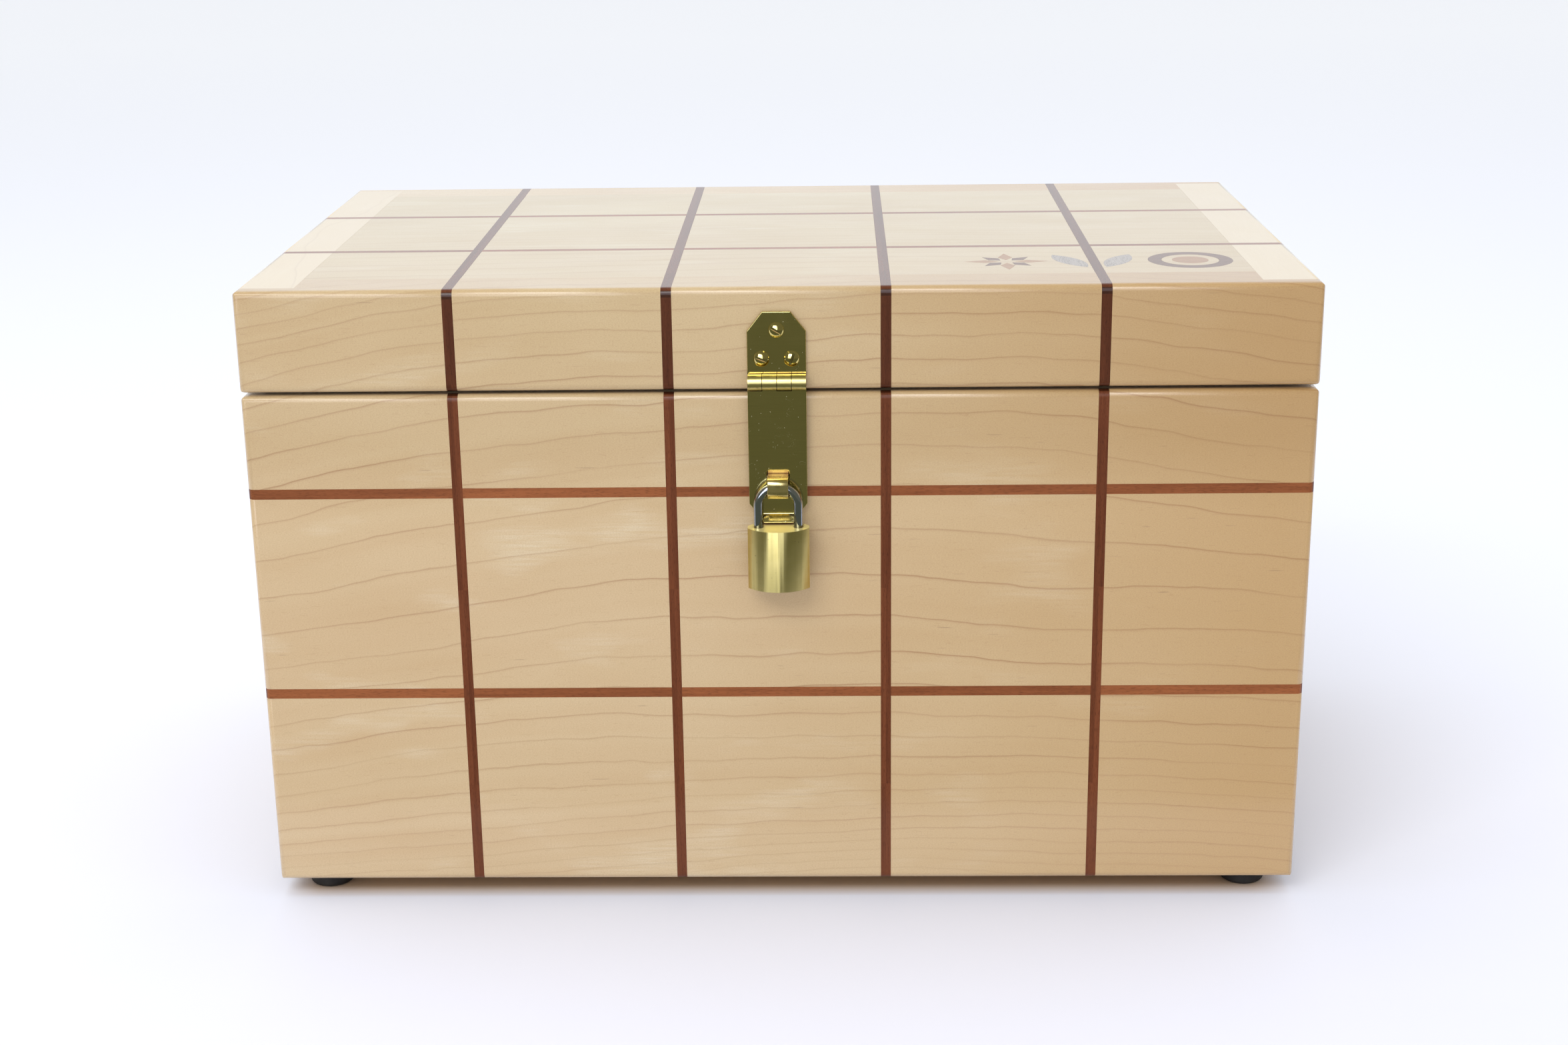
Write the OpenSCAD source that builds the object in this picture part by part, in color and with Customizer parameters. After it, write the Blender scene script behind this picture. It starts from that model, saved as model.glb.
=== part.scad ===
/* [Box] */
// Outside width of the box, across the front
box_w = 348; // [300:1:400]
// Outside depth of the box, front to back
box_d = 206.5; // [190:0.5:240]
// Height of the wooden box without its feet
box_h = 206.5; // [190:0.5:240]
// Thickness of the four side boards
board_t = 19; // [17:0.5:20]
// Thickness of the top and bottom panels
panel_t = 12; // [10:0.5:14]
// Height of the lid's sides
lid_h = 33.5; // [28:0.5:40]
// Saw kerf that shows between the box and the lid
lid_gap = 1; // [0.8:0.1:1.4]
// Lip of the front and back boards that covers the ends of the side boards
lip_t = 5.5; // [4:0.5:8]
// Radius of the eased outer edges
edge_r = 2.2; // [1:0.1:3]

/* [Inlay] */
// Width of the inlaid strips
strip_w = 3.4; // [2:0.1:5]
// Depth of the inlaid strips
strip_t = 3; // [2:0.1:4]
// Distance between the inlaid strips
grid = 70; // [66:0.5:72]

/* [Feet] */
// Height of the rubber feet
foot_h = 6.5; // [5:0.5:9]
// Diameter of the rubber feet
foot_d = 16; // [14:0.5:20]
// Distance of a foot's centre from the box's outer faces
foot_inset = 14.8; // [13:0.1:17]

/* [Felt] */
// Width of the felt strip on the rim
felt_w = 8; // [5:0.5:10]
// Distance of the felt strip from the outer faces
felt_inset = 6.5; // [6:0.5:8]

/* [Hasp] */
// Width of the hasp
hasp_w = 18.9; // [18:0.1:21]
// Thickness of the hasp's plates
plate_t = 1.2; // [1:0.1:1.3]
// Outside diameter of the hasp's barrel
barrel_d = 5.2; // [5:0.1:5.6]
// Height of the barrel's axis above the bottom of the lid
barrel_up = 3.2; // [3:0.1:4]
// Distance from the barrel's axis to the top of the leaf
leaf_len = 22.7; // [22:0.1:24]
// Distance from the barrel's axis to the tip of the strap
strap_len = 46.9; // [46:0.1:48]

/* [Padlock] */
// Width of the padlock's body
lock_w = 20; // [20:0.1:21]
// Height of the padlock's body
lock_h = 20.4; // [20:0.1:22]
// Thickness of the padlock's body at its middle
lock_t = 13; // [12.5:0.1:13]
// Thickness of the padlock's body at its edges
lock_edge = 2.6; // [2:0.1:4]
// Diameter of the shackle's wire
wire_d = 3; // [2.8:0.1:3.1]
// Distance between the shackle's legs, centre to centre
leg_gap = 13; // [12.8:0.1:13.4]
// How far the body drops when the padlock is open
lock_drop = 8; // [8:0.1:9]

/* [Hinges] */
// Length of a butt hinge
hinge_len = 50; // [38:1:60]
// Distance of a hinge's centre from the box's middle
hinge_x = 70; // [62:1:78]
// Diameter of a hinge's knuckle
knuckle_d = 4.8; // [4.4:0.1:5.2]

/* [Hidden] */
$fn = 48;
eps = 0.01;

// Heights, measured from the surface that the feet stand on
box_z0 = foot_h;
box_z1 = foot_h + box_h - lid_h - lid_gap;
lid_z0 = box_z1 + lid_gap;
lid_z1 = foot_h + box_h;
rim_mid = (box_z1 + lid_z0) / 2;

// The padlock stands proud in front and the knuckles behind: the origin is midway
knuckle_out = knuckle_d / 2 + 0.2;
lock_y_off = lock_t / 2 + 0.4;
front_proud = lock_y_off + lock_t / 2;
back_proud = knuckle_out + knuckle_d / 2;
front_y = (front_proud - back_proud - box_d) / 2;
back_y = front_y + box_d;
mid_y = (front_y + back_y) / 2;
inner_x = box_w / 2 - board_t;
inner_y0 = front_y + board_t;
inner_y1 = back_y - board_t;

felt_t = lid_gap - 0.1;

// Feet and their screws
foot_taper = 1;
foot_recess_r = 3.2;
foot_recess = 2.5;
foot_head_r = 2.6;
foot_head_h = 1.4;
foot_screw_r = 1.3;
foot_screw_in = 10;

// Tongue of a panel, and the groove that it sits in
tongue_t = 6;
tongue_l = 6;
tongue_off = 3;
low_tongue_z = box_z0 + tongue_off;
top_tongue_z = lid_z1 - tongue_off - tongue_t;

// The strips that cross each face
long_x = [-1.5 * grid, -0.5 * grid, 0.5 * grid, 1.5 * grid];
rail_z = [box_z0 + 69, box_z0 + 139];
rail_y = [mid_y - grid / 2, mid_y + grid / 2];

// The motifs beside the lid's front edge
motif_y = front_y + 40;
star_x = 76;
star_r = 14;
star_hub = 2.6;
ray_half = 2.4;
ray_widest = 0.42;
short_ray = 0.78;
leaves_x = 1.5 * grid;
leaf_size = [24, 8];
leaf_off = 8;
leaf_lean = 24;
ring_x = 137;
ring_r = 14;
ring_band = 4.5;
ring_centre_r = 6;

// Hasp
barrel_y = front_y - barrel_d / 2 - 0.1;
barrel_z = lid_z0 + barrel_up;
leaf_z1 = barrel_z + leaf_len;
leaf_cut = [4.9, 6.3];
knuckle_w = hasp_w / 4;
side_gap = 0.1;
turn_gap = 0.35;
hasp_pin_r = 1;
run_gap = 0.05;
strap_y = front_y - 1.5 - plate_t;
strap_z0 = barrel_z - strap_len;
lip_rise = 3;
lip_out = 2.1;
lip_round = 0.5;
slot_w = 7.4;
slot_z = [box_z0 + 137.45, box_z0 + 146.9];
slot_round = 1;
head_d = 5.2;
head_rise = 1.4;
drive_w = 0.84;
drive_depth = 0.7;
sunk_drive = 0.55;
// Each screw of the leaf: across, height, turn of its slot
leaf_screws = [
    [0, leaf_z1 - 6, -30],
    [-4.85, leaf_z1 - 15.3, -21],
    [4.85, leaf_z1 - 15.3, 70]
];
screw_r = 1.2;
screw_l = 12;

// Staple
staple_w = 6.7;
staple_t = 1;
staple_z = [box_z0 + 138.6, box_z0 + 145.4];
staple_out = 9.7;
base_w = 13;
base_z = [box_z0 + 131.9, box_z0 + 152.1];
base_screw_z = [box_z0 + 134.9, box_z0 + 149.1];
base_sink_r = 2.4;
loop_top_r = 1.9;
loop_low_r = 3;

// Padlock
lock_y = front_y - lock_y_off;
lock_z1 = box_z0 + 129;
lock_z0 = lock_z1 - lock_h;
crown_z = lock_z1 + 7;
leg_x = leg_gap / 2;
wire_r = wire_d / 2;
heel_end = lock_z1 - 12.5;
toe_end = lock_z1 - 7.4;
fit = 0.08;
leg_hole_r = wire_r + fit;
heel_hole_z = lock_z1 - 17.4;
toe_hole_z = toe_end - 0.4;
latch_z = lock_z1 - 4.4;
latch_r = 1.4;
latch_throw = 1.3;
latch_tip = leg_x - wire_r - 0.25;
latch_back = -2;
latch_room = 0.4;
plug_r = 3.25;
plug_gap = 0.05;
plug_z0 = lock_z0 + 0.1;
plug_top = lock_z1 - 6.4;
plug_room = 0.2;
cam_r = 0.6;
cam_off = 0.65;
cam_rise = 1.4;
cam_room_r = 1.7;
key_slot = [1.2, 4.8];
key_slot_top = lock_z0 + 11.5;
chamber_z = [for (i = [0:2]) lock_z0 + 3.3 + 3 * i];
chamber_r = 1;
key_pin_tip = 0.9;
driver_l = 2.25;
driver_x = plug_r + 0.15;
cap_in = lock_w / 2 - 1.1;
pin_hole_y = -4.5;
stop_x = -leg_x + 1.25;
stop_z = lock_z1 - 2.4;
stop_pin_l = 9.6;
retainer_x = -3.2;
retainer_z = lock_z0 + 1.4;
retainer_l = 10.4;
small_pin_r = 0.6;
heel_coil = [1.1, 0.45];
pin_coil = [0.7, 0.3];

// Hinges
hinge_leaf_t = 1.2;
hinge_leaf_gap = 0.6;
hinge_in = 15;
hinge_y = back_y + knuckle_out;
hinge_z = rim_mid;
hinge_pin_r = 1.1;
hinge_knuckles = 5;
hinge_knuckle_w = hinge_len / hinge_knuckles;
hinge_screw_at = [-hinge_len * 0.36, 0, hinge_len * 0.36];
hinge_screw_r = 1.1;
hinge_screw_l = 9;
hinge_sink_r = 2.2;
hinge_sink = hinge_leaf_t - 0.1;
sink_gap = 0.1;

maple = "#d2ab79";
maple_pale = "#e0c296";
walnut = "#6e3a24";
walnut_dark = "#4a2a1e";
tan_wood = "#b98a5e";
grey_wood = "#8f8580";
brass = "#b59a4a";
steel = "#c8c8cc";
rubber = "#161616";
felt_green = "#24402c";

// ---------- shared shapes ----------

module box_from(lo, hi) {
    translate(lo) cube(hi - lo);
}

// Rectangle with round corners, kept as true arcs
module round_rect(w, h, r) {
    square([w - 2 * r, h], center = true);
    square([w, h - 2 * r], center = true);
    for (sx = [-1, 1], sy = [-1, 1])
        translate([sx * (w / 2 - r), sy * (h / 2 - r)]) circle(r);
}

// The wooden block between two heights, all of its outer edges eased
module eased_block(z0, z1) {
    h = z1 - z0;
    translate([0, mid_y, (z0 + z1) / 2]) intersection() {
        linear_extrude(h, center = true) round_rect(box_w, box_d, edge_r);
        rotate([90, 0, 0]) linear_extrude(box_d, center = true) round_rect(box_w, h, edge_r);
        rotate([90, 0, 90]) linear_extrude(box_w, center = true) round_rect(box_d, h, edge_r);
    }
}

// Groove that takes a panel's tongue, all round the inside
module tongue_groove(z) {
    box_from([-inner_x - tongue_l, inner_y0 - tongue_l, z],
             [inner_x + tongue_l, inner_y1 + tongue_l, z + tongue_t]);
}

module long_board_shape(z0, z1, side) {
    y = side < 0 ? front_y : back_y - lip_t;
    yb = side < 0 ? front_y : inner_y1;
    box_from([-box_w / 2, y, z0], [box_w / 2, y + lip_t, z1]);
    box_from([-inner_x, yb, z0], [inner_x, yb + board_t, z1]);
}

module short_board_shape(z0, z1, side) {
    x = side < 0 ? -box_w / 2 : inner_x;
    box_from([x, front_y + lip_t, z0], [x + board_t, back_y - lip_t, z1]);
}

// Slot across a screw's head, whose face is at the height z
module drive_slot(z, reach, depth) {
    translate([-reach, -drive_w / 2, z - depth]) cube([2 * reach, drive_w, 2 * depth]);
}

// ---------- inlay ----------

// Upright strips on the front or back face, between two heights
module long_uprights(z0, z1, side) {
    y = side < 0 ? front_y : back_y - strip_t;
    for (x = long_x)
        box_from([x - strip_w / 2, y, z0], [x + strip_w / 2, y + strip_t, z1]);
}

// Pieces of rail between the uprights on the front or back face
module long_rails(side) {
    y = side < 0 ? front_y : back_y - strip_t;
    edges = concat([-box_w / 2 - strip_w / 2], long_x, [box_w / 2 + strip_w / 2]);
    for (z = rail_z, i = [0:len(edges) - 2])
        box_from([edges[i] + strip_w / 2, y, z - strip_w / 2],
                 [edges[i + 1] - strip_w / 2, y + strip_t, z + strip_w / 2]);
}

// Upright strips on a side face
module short_uprights(z0, z1, side) {
    x = side < 0 ? -box_w / 2 : box_w / 2 - strip_t;
    for (y = rail_y)
        box_from([x, y - strip_w / 2, z0], [x + strip_t, y + strip_w / 2, z1]);
}

// Pieces of rail between the uprights on a side face
module short_rails(side) {
    x = side < 0 ? -box_w / 2 : box_w / 2 - strip_t;
    y0 = front_y + strip_t;
    y1 = back_y - strip_t;
    edges = concat([y0 - strip_w / 2], rail_y, [y1 + strip_w / 2]);
    for (z = rail_z, i = [0:len(edges) - 2])
        box_from([x, edges[i] + strip_w / 2, z - strip_w / 2],
                 [x + strip_t, edges[i + 1] - strip_w / 2, z + strip_w / 2]);
}

module top_long_strips() {
    for (x = long_x)
        box_from([x - strip_w / 2, front_y, lid_z1 - strip_t], [x + strip_w / 2, back_y, lid_z1]);
}

module top_cross_strips() {
    edges = concat([-box_w / 2 - strip_w / 2], long_x, [box_w / 2 + strip_w / 2]);
    for (y = rail_y, i = [0:len(edges) - 2])
        box_from([edges[i] + strip_w / 2, y - strip_w / 2, lid_z1 - strip_t],
                 [edges[i + 1] - strip_w / 2, y + strip_w / 2, lid_z1]);
}

module top_strips() {
    top_long_strips();
    top_cross_strips();
}

// One ray of the star: a thin rhombus
module ray(inner, outer, half) {
    widest = (inner + outer) * ray_widest;
    polygon([[inner, 0], [widest, half], [outer, 0], [widest, -half]]);
}

module star_rays(first) {
    ray_len = first == 0 ? star_r : star_r * short_ray;
    translate([star_x, motif_y, lid_z1 - strip_t]) linear_extrude(strip_t)
        for (a = [first:90:first + 270]) rotate(a) ray(star_hub, ray_len, ray_half);
}

// A pointed oval leaf, made of two arcs
module leaf(length, width) {
    r = (pow(length / 2, 2) + pow(width / 2, 2)) / width;
    intersection() {
        translate([0, r - width / 2]) circle(r, $fn = 96);
        translate([0, width / 2 - r]) circle(r, $fn = 96);
    }
}

module leaves_shape() {
    for (side = [-1, 1])
        translate([leaves_x + side * leaf_off, motif_y, 0])
            rotate(90 - side * leaf_lean) leaf(leaf_size[0], leaf_size[1]);
}

module ring_shape() {
    difference() {
        circle(ring_r, $fn = 96);
        circle(ring_r - ring_band, $fn = 96);
    }
}

module motif_cuts() {
    star_rays(0);
    star_rays(45);
    translate([0, 0, lid_z1 - strip_t]) linear_extrude(strip_t) leaves_shape();
    translate([ring_x, motif_y, lid_z1 - strip_t]) linear_extrude(strip_t) {
        ring_shape();
        circle(ring_centre_r, $fn = 72);
    }
}

// ---------- box boards ----------

// Grooves where the side rails run on into the long boards' lips
module side_rails_through() {
    for (side = [-1, 1]) short_rails(side);
}

module each_foot() {
    for (sx = [-1, 1], y = [front_y + foot_inset, back_y - foot_inset])
        translate([sx * (box_w / 2 - foot_inset), y, 0]) children();
}

module foot_holes() {
    each_foot() translate([0, 0, box_z0]) cylinder(r = foot_screw_r, h = foot_screw_in);
}

module box_front_board() {
    color(maple) difference() {
        intersection() {
            long_board_shape(box_z0, box_z1, -1);
            eased_block(box_z0, box_z1);
        }
        tongue_groove(low_tongue_z);
        long_uprights(box_z0, box_z1, -1);
        long_rails(-1);
        side_rails_through();
        for (z = base_screw_z) board_hole(0, z, screw_r, screw_l);
    }
}

// Hole straight back into a front board
module board_hole(x, z, r, depth) {
    translate([x, front_y, z]) rotate([-90, 0, 0]) cylinder(r = r, h = depth);
}

module box_back_board() {
    color(maple) difference() {
        intersection() {
            long_board_shape(box_z0, box_z1, 1);
            eased_block(box_z0, box_z1);
        }
        tongue_groove(low_tongue_z);
        long_uprights(box_z0, box_z1, 1);
        long_rails(1);
        side_rails_through();
        for (s = [-1, 1]) hinge_mortise(s, -1);
    }
}

module box_side_board(side) {
    color(maple) difference() {
        intersection() {
            short_board_shape(box_z0, box_z1, side);
            eased_block(box_z0, box_z1);
        }
        tongue_groove(low_tongue_z);
        short_uprights(box_z0, box_z1, side);
        short_rails(side);
        foot_holes();
    }
}

module box_left_board() box_side_board(-1);
module box_right_board() box_side_board(1);

module panel(z, tongue_z) {
    box_from([-inner_x, inner_y0, z], [inner_x, inner_y1, z + panel_t]);
    tongue_groove(tongue_z);
}

module box_bottom_panel() {
    color(maple) difference() {
        panel(box_z0, low_tongue_z);
        foot_holes();
    }
}

module box_front_inlay() {
    color(walnut) intersection() {
        union() {
            long_uprights(box_z0, box_z1, -1);
            long_rails(-1);
        }
        eased_block(box_z0, box_z1);
    }
}

module box_back_inlay() {
    color(walnut) intersection() {
        union() {
            long_uprights(box_z0, box_z1, 1);
            long_rails(1);
        }
        eased_block(box_z0, box_z1);
    }
}

module box_side_inlay(side) {
    color(walnut) intersection() {
        union() {
            short_uprights(box_z0, box_z1, side);
            short_rails(side);
        }
        eased_block(box_z0, box_z1);
    }
}

module box_left_inlay() box_side_inlay(-1);
module box_right_inlay() box_side_inlay(1);

// Felt strip on the rim that cushions the lid, cut away at the hinges
module rim_felt() {
    lo = [-box_w / 2 + felt_inset, front_y + felt_inset, box_z1];
    hi = [box_w / 2 - felt_inset, back_y - felt_inset, box_z1 + felt_t];
    in = [felt_w, felt_w, 0];
    color(felt_green) difference() {
        box_from(lo, hi);
        box_from(lo + in - [0, 0, 1], hi - in + [0, 0, 1]);
        for (s = [-1, 1])
            box_from([s * hinge_x - hinge_len / 2 - 1, back_y - board_t, box_z1 - 1],
                     [s * hinge_x + hinge_len / 2 + 1, back_y, lid_z0 + 1]);
    }
}

module rubber_feet() {
    color(rubber) each_foot() difference() {
        union() {
            cylinder(d1 = foot_d - 2 * foot_taper, d2 = foot_d, h = foot_taper);
            translate([0, 0, foot_taper]) cylinder(d = foot_d, h = foot_h - foot_taper);
        }
        translate([0, 0, -eps]) cylinder(r = foot_recess_r, h = foot_recess + eps);
        cylinder(r = foot_screw_r, h = foot_h);
    }
}

module foot_screws() {
    color(steel) each_foot() translate([0, 0, foot_recess]) difference() {
        union() {
            translate([0, 0, -foot_head_h]) cylinder(r = foot_head_r, h = foot_head_h);
            cylinder(r = foot_screw_r, h = foot_h - foot_recess + foot_screw_in);
        }
        drive_slot(-foot_head_h, foot_head_r, drive_depth);
    }
}

// ---------- hinges ----------

// Recess in the rim for one leaf: level -1 is the box, 1 the lid
module hinge_mortise(side, level) {
    z0 = level < 0 ? hinge_z - hinge_leaf_gap / 2 - hinge_leaf_t : hinge_z + hinge_leaf_gap / 2;
    x = side * hinge_x;
    box_from([x - hinge_len / 2, back_y - hinge_in, z0],
             [x + hinge_len / 2, back_y + eps, z0 + hinge_leaf_t]);
    for (dx = hinge_screw_at)
        translate([x + dx, back_y - hinge_in / 2, hinge_z])
            rotate([level < 0 ? 180 : 0, 0, 0]) cylinder(r = hinge_screw_r, h = hinge_screw_l);
}

module hinge_knuckle(x, i) {
    translate([x - hinge_len / 2 + i * hinge_knuckle_w + side_gap, hinge_y, hinge_z])
        rotate([0, 90, 0]) cylinder(d = knuckle_d, h = hinge_knuckle_w - 2 * side_gap);
}

module hinge_leaf(side, level) {
    x = side * hinge_x;
    z0 = level < 0 ? hinge_z - hinge_leaf_gap / 2 - hinge_leaf_t : hinge_z + hinge_leaf_gap / 2;
    own = level < 0 ? [0, 2, 4] : [1, 3];
    color(brass) difference() {
        union() {
            box_from([x - hinge_len / 2, back_y - hinge_in, z0],
                     [x + hinge_len / 2, back_y, z0 + hinge_leaf_t]);
            for (i = own) {
                hinge_knuckle(x, i);
                box_from([x - hinge_len / 2 + i * hinge_knuckle_w + side_gap, back_y - 1, z0],
                         [x - hinge_len / 2 + (i + 1) * hinge_knuckle_w - side_gap, hinge_y,
                          z0 + hinge_leaf_t]);
            }
        }
        translate([x - hinge_len, hinge_y, hinge_z])
            rotate([0, 90, 0]) cylinder(r = hinge_pin_r + run_gap, h = 2 * hinge_len);
        for (dx = hinge_screw_at)
            translate([x + dx, back_y - hinge_in / 2, hinge_z]) {
                rotate([level < 0 ? 180 : 0, 0, 0]) cylinder(r = hinge_screw_r, h = hinge_screw_l);
                rotate([level < 0 ? 180 : 0, 0, 0])
                    translate([0, 0, hinge_leaf_gap / 2 - eps])
                        cylinder(r1 = hinge_sink_r, r2 = hinge_screw_r, h = hinge_sink + eps);
            }
    }
}

module hinge_left_box_leaf() hinge_leaf(-1, -1);
module hinge_right_box_leaf() hinge_leaf(1, -1);
module hinge_left_lid_leaf() hinge_leaf(-1, 1);
module hinge_right_lid_leaf() hinge_leaf(1, 1);

module hinge_pins() {
    color(brass) for (s = [-1, 1])
        translate([s * hinge_x - hinge_len / 2, hinge_y, hinge_z])
            rotate([0, 90, 0]) cylinder(r = hinge_pin_r, h = hinge_len);
}

module hinge_screws(level) {
    color(brass) for (s = [-1, 1], dx = hinge_screw_at)
        translate([s * hinge_x + dx, back_y - hinge_in / 2, hinge_z])
            rotate([level < 0 ? 180 : 0, 0, 0]) difference() {
                union() {
                    translate([0, 0, (hinge_leaf_gap + sink_gap) / 2])
                        cylinder(r1 = hinge_sink_r - sink_gap, r2 = hinge_screw_r,
                                 h = hinge_sink - sink_gap / 2);
                    translate([0, 0, (hinge_leaf_gap + hinge_sink) / 2])
                        cylinder(r = hinge_screw_r,
                                 h = hinge_screw_l - (hinge_leaf_gap + hinge_sink) / 2);
                }
                drive_slot((hinge_leaf_gap + sink_gap) / 2, hinge_sink_r, sunk_drive);
            }
}

module hinge_box_screws() hinge_screws(-1);
module hinge_lid_screws() hinge_screws(1);

// ---------- lid boards ----------

module lid_front_board() {
    color(maple) difference() {
        intersection() {
            long_board_shape(lid_z0, lid_z1, -1);
            eased_block(lid_z0, lid_z1);
        }
        tongue_groove(top_tongue_z);
        long_uprights(lid_z0, lid_z1, -1);
        top_strips();
        for (s = leaf_screws) board_hole(s[0], s[1], screw_r, screw_l);
    }
}

module lid_back_board() {
    color(maple) difference() {
        intersection() {
            long_board_shape(lid_z0, lid_z1, 1);
            eased_block(lid_z0, lid_z1);
        }
        tongue_groove(top_tongue_z);
        long_uprights(lid_z0, lid_z1, 1);
        top_strips();
        for (s = [-1, 1]) hinge_mortise(s, 1);
    }
}

module lid_side_board(side) {
    color(maple_pale) difference() {
        intersection() {
            short_board_shape(lid_z0, lid_z1, side);
            eased_block(lid_z0, lid_z1);
        }
        tongue_groove(top_tongue_z);
        short_uprights(lid_z0, lid_z1, side);
        top_strips();
    }
}

module lid_left_board() lid_side_board(-1);
module lid_right_board() lid_side_board(1);

module lid_top_panel() {
    color(maple_pale) difference() {
        panel(lid_z1 - panel_t, top_tongue_z);
        top_strips();
        motif_cuts();
    }
}

module lid_long_inlay(side) {
    color(walnut) intersection() {
        long_uprights(lid_z0, lid_z1 - strip_t, side);
        eased_block(lid_z0, lid_z1);
    }
}

module lid_front_inlay() lid_long_inlay(-1);
module lid_back_inlay() lid_long_inlay(1);

module lid_side_inlay(side) {
    color(walnut) intersection() {
        short_uprights(lid_z0, lid_z1 - strip_t, side);
        eased_block(lid_z0, lid_z1);
    }
}

module lid_left_inlay() lid_side_inlay(-1);
module lid_right_inlay() lid_side_inlay(1);

module lid_top_long_inlay() {
    color(walnut) intersection() {
        top_long_strips();
        eased_block(lid_z0, lid_z1);
    }
}

module lid_top_cross_inlay() {
    color(walnut) intersection() {
        top_cross_strips();
        eased_block(lid_z0, lid_z1);
    }
}

module star_light_rays() {
    color(tan_wood) star_rays(0);
}

module star_dark_rays() {
    color(walnut_dark) star_rays(45);
}

module leaf_pair() {
    color(grey_wood) translate([0, 0, lid_z1 - strip_t]) linear_extrude(strip_t) leaves_shape();
}

module ring_inlay() {
    color(walnut) translate([ring_x, motif_y, lid_z1 - strip_t])
        linear_extrude(strip_t) ring_shape();
}

module ring_centre() {
    color(tan_wood) translate([ring_x, motif_y, lid_z1 - strip_t])
        cylinder(r = ring_centre_r, h = strip_t);
}

// ---------- hasp ----------

// Knuckle i of the four, counted from the left
module hasp_knuckle(i) {
    translate([-hasp_w / 2 + i * knuckle_w + side_gap, barrel_y, barrel_z])
        rotate([0, 90, 0]) cylinder(d = barrel_d, h = knuckle_w - 2 * side_gap);
}

// Room around the other plate's knuckle
module knuckle_room(i) {
    translate([-hasp_w / 2 + i * knuckle_w - side_gap, barrel_y, barrel_z])
        rotate([0, 90, 0]) cylinder(r = barrel_d / 2 + turn_gap, h = knuckle_w + 2 * side_gap);
}

module hasp_bore() {
    translate([-hasp_w, barrel_y, barrel_z])
        rotate([0, 90, 0]) cylinder(r = hasp_pin_r + run_gap, h = 2 * hasp_w);
}

// Outline of a plate that runs away from the barrel and ends in two cut corners
module plate_outline(length) {
    polygon([
        [-hasp_w / 2, 0], [hasp_w / 2, 0],
        [hasp_w / 2, length - leaf_cut[1]], [hasp_w / 2 - leaf_cut[0], length],
        [-hasp_w / 2 + leaf_cut[0], length], [-hasp_w / 2, length - leaf_cut[1]]
    ]);
}

module hasp_leaf() {
    color(brass) difference() {
        union() {
            difference() {
                translate([0, front_y, barrel_z])
                    rotate([90, 0, 0]) linear_extrude(plate_t) plate_outline(leaf_len);
                for (i = [1, 3]) knuckle_room(i);
            }
            for (i = [0, 2]) hasp_knuckle(i);
        }
        hasp_bore();
        for (s = leaf_screws) translate([s[0], front_y + 1, s[1]])
            rotate([90, 0, 0]) cylinder(r = screw_r, h = plate_t + 2);
    }
}

module hasp_pin() {
    color(brass) translate([-hasp_w / 2 + side_gap, barrel_y, barrel_z])
        rotate([0, 90, 0]) cylinder(r = hasp_pin_r, h = hasp_w - 2 * side_gap);
}

// Round-head wood screw that points back into the board
module round_head_screw(turn) {
    ball_r = (pow(head_d / 2, 2) + pow(head_rise, 2)) / (2 * head_rise);
    rotate([90, 0, 0]) difference() {
        union() {
            intersection() {
                cylinder(d = head_d, h = head_rise);
                translate([0, 0, head_rise - ball_r]) sphere(ball_r);
            }
            translate([0, 0, -screw_l - plate_t]) cylinder(r = screw_r, h = screw_l + plate_t + eps);
        }
        rotate(turn) drive_slot(head_rise, head_d, drive_depth);
    }
}

module hasp_screws() {
    color(brass) for (s = leaf_screws)
        translate([s[0], front_y - plate_t, s[1]]) round_head_screw(s[2]);
}

// Side outline of the strap: straight plate, then the finger lip
module strap_profile() {
    y0 = strap_y;
    y1 = strap_y + plate_t;
    z0 = strap_z0 + lip_rise;
    polygon([
        [y0, barrel_z], [y0, z0],
        [y0 - lip_out, strap_z0 + lip_round], [y0 - lip_out + lip_round, strap_z0],
        [y1 - lip_out + lip_round, strap_z0 + lip_round / 2], [y1, z0 - lip_round], [y1, barrel_z]
    ]);
}

module hasp_strap() {
    color(brass) difference() {
        union() {
            difference() {
                intersection() {
                    rotate([90, 0, 90]) linear_extrude(hasp_w, center = true) strap_profile();
                    translate([0, front_y, barrel_z]) rotate([90, 0, 0]) mirror([0, 1, 0])
                        linear_extrude(10) plate_outline(strap_len);
                }
                for (i = [0, 2]) knuckle_room(i);
            }
            for (i = [1, 3]) hasp_knuckle(i);
        }
        hasp_bore();
        translate([0, front_y, (slot_z[0] + slot_z[1]) / 2]) rotate([90, 0, 0])
            linear_extrude(10) round_rect(slot_w, slot_z[1] - slot_z[0], slot_round);
    }
}

// ---------- staple ----------

module staple_base_plate() {
    color(brass) difference() {
        box_from([-base_w / 2, front_y - plate_t, base_z[0]], [base_w / 2, front_y, base_z[1]]);
        box_from([-staple_w / 2, front_y - 5, staple_z[1] - staple_t],
                 [staple_w / 2, front_y + 1, staple_z[1]]);
        box_from([-staple_w / 2, front_y - 5, staple_z[0]],
                 [staple_w / 2, front_y + 1, staple_z[0] + staple_t]);
        for (z = base_screw_z) translate([0, front_y, z]) rotate([90, 0, 0]) {
            cylinder(r1 = screw_r, r2 = base_sink_r, h = plate_t);
            translate([0, 0, -1]) cylinder(r = screw_r, h = 3);
        }
    }
}

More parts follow.
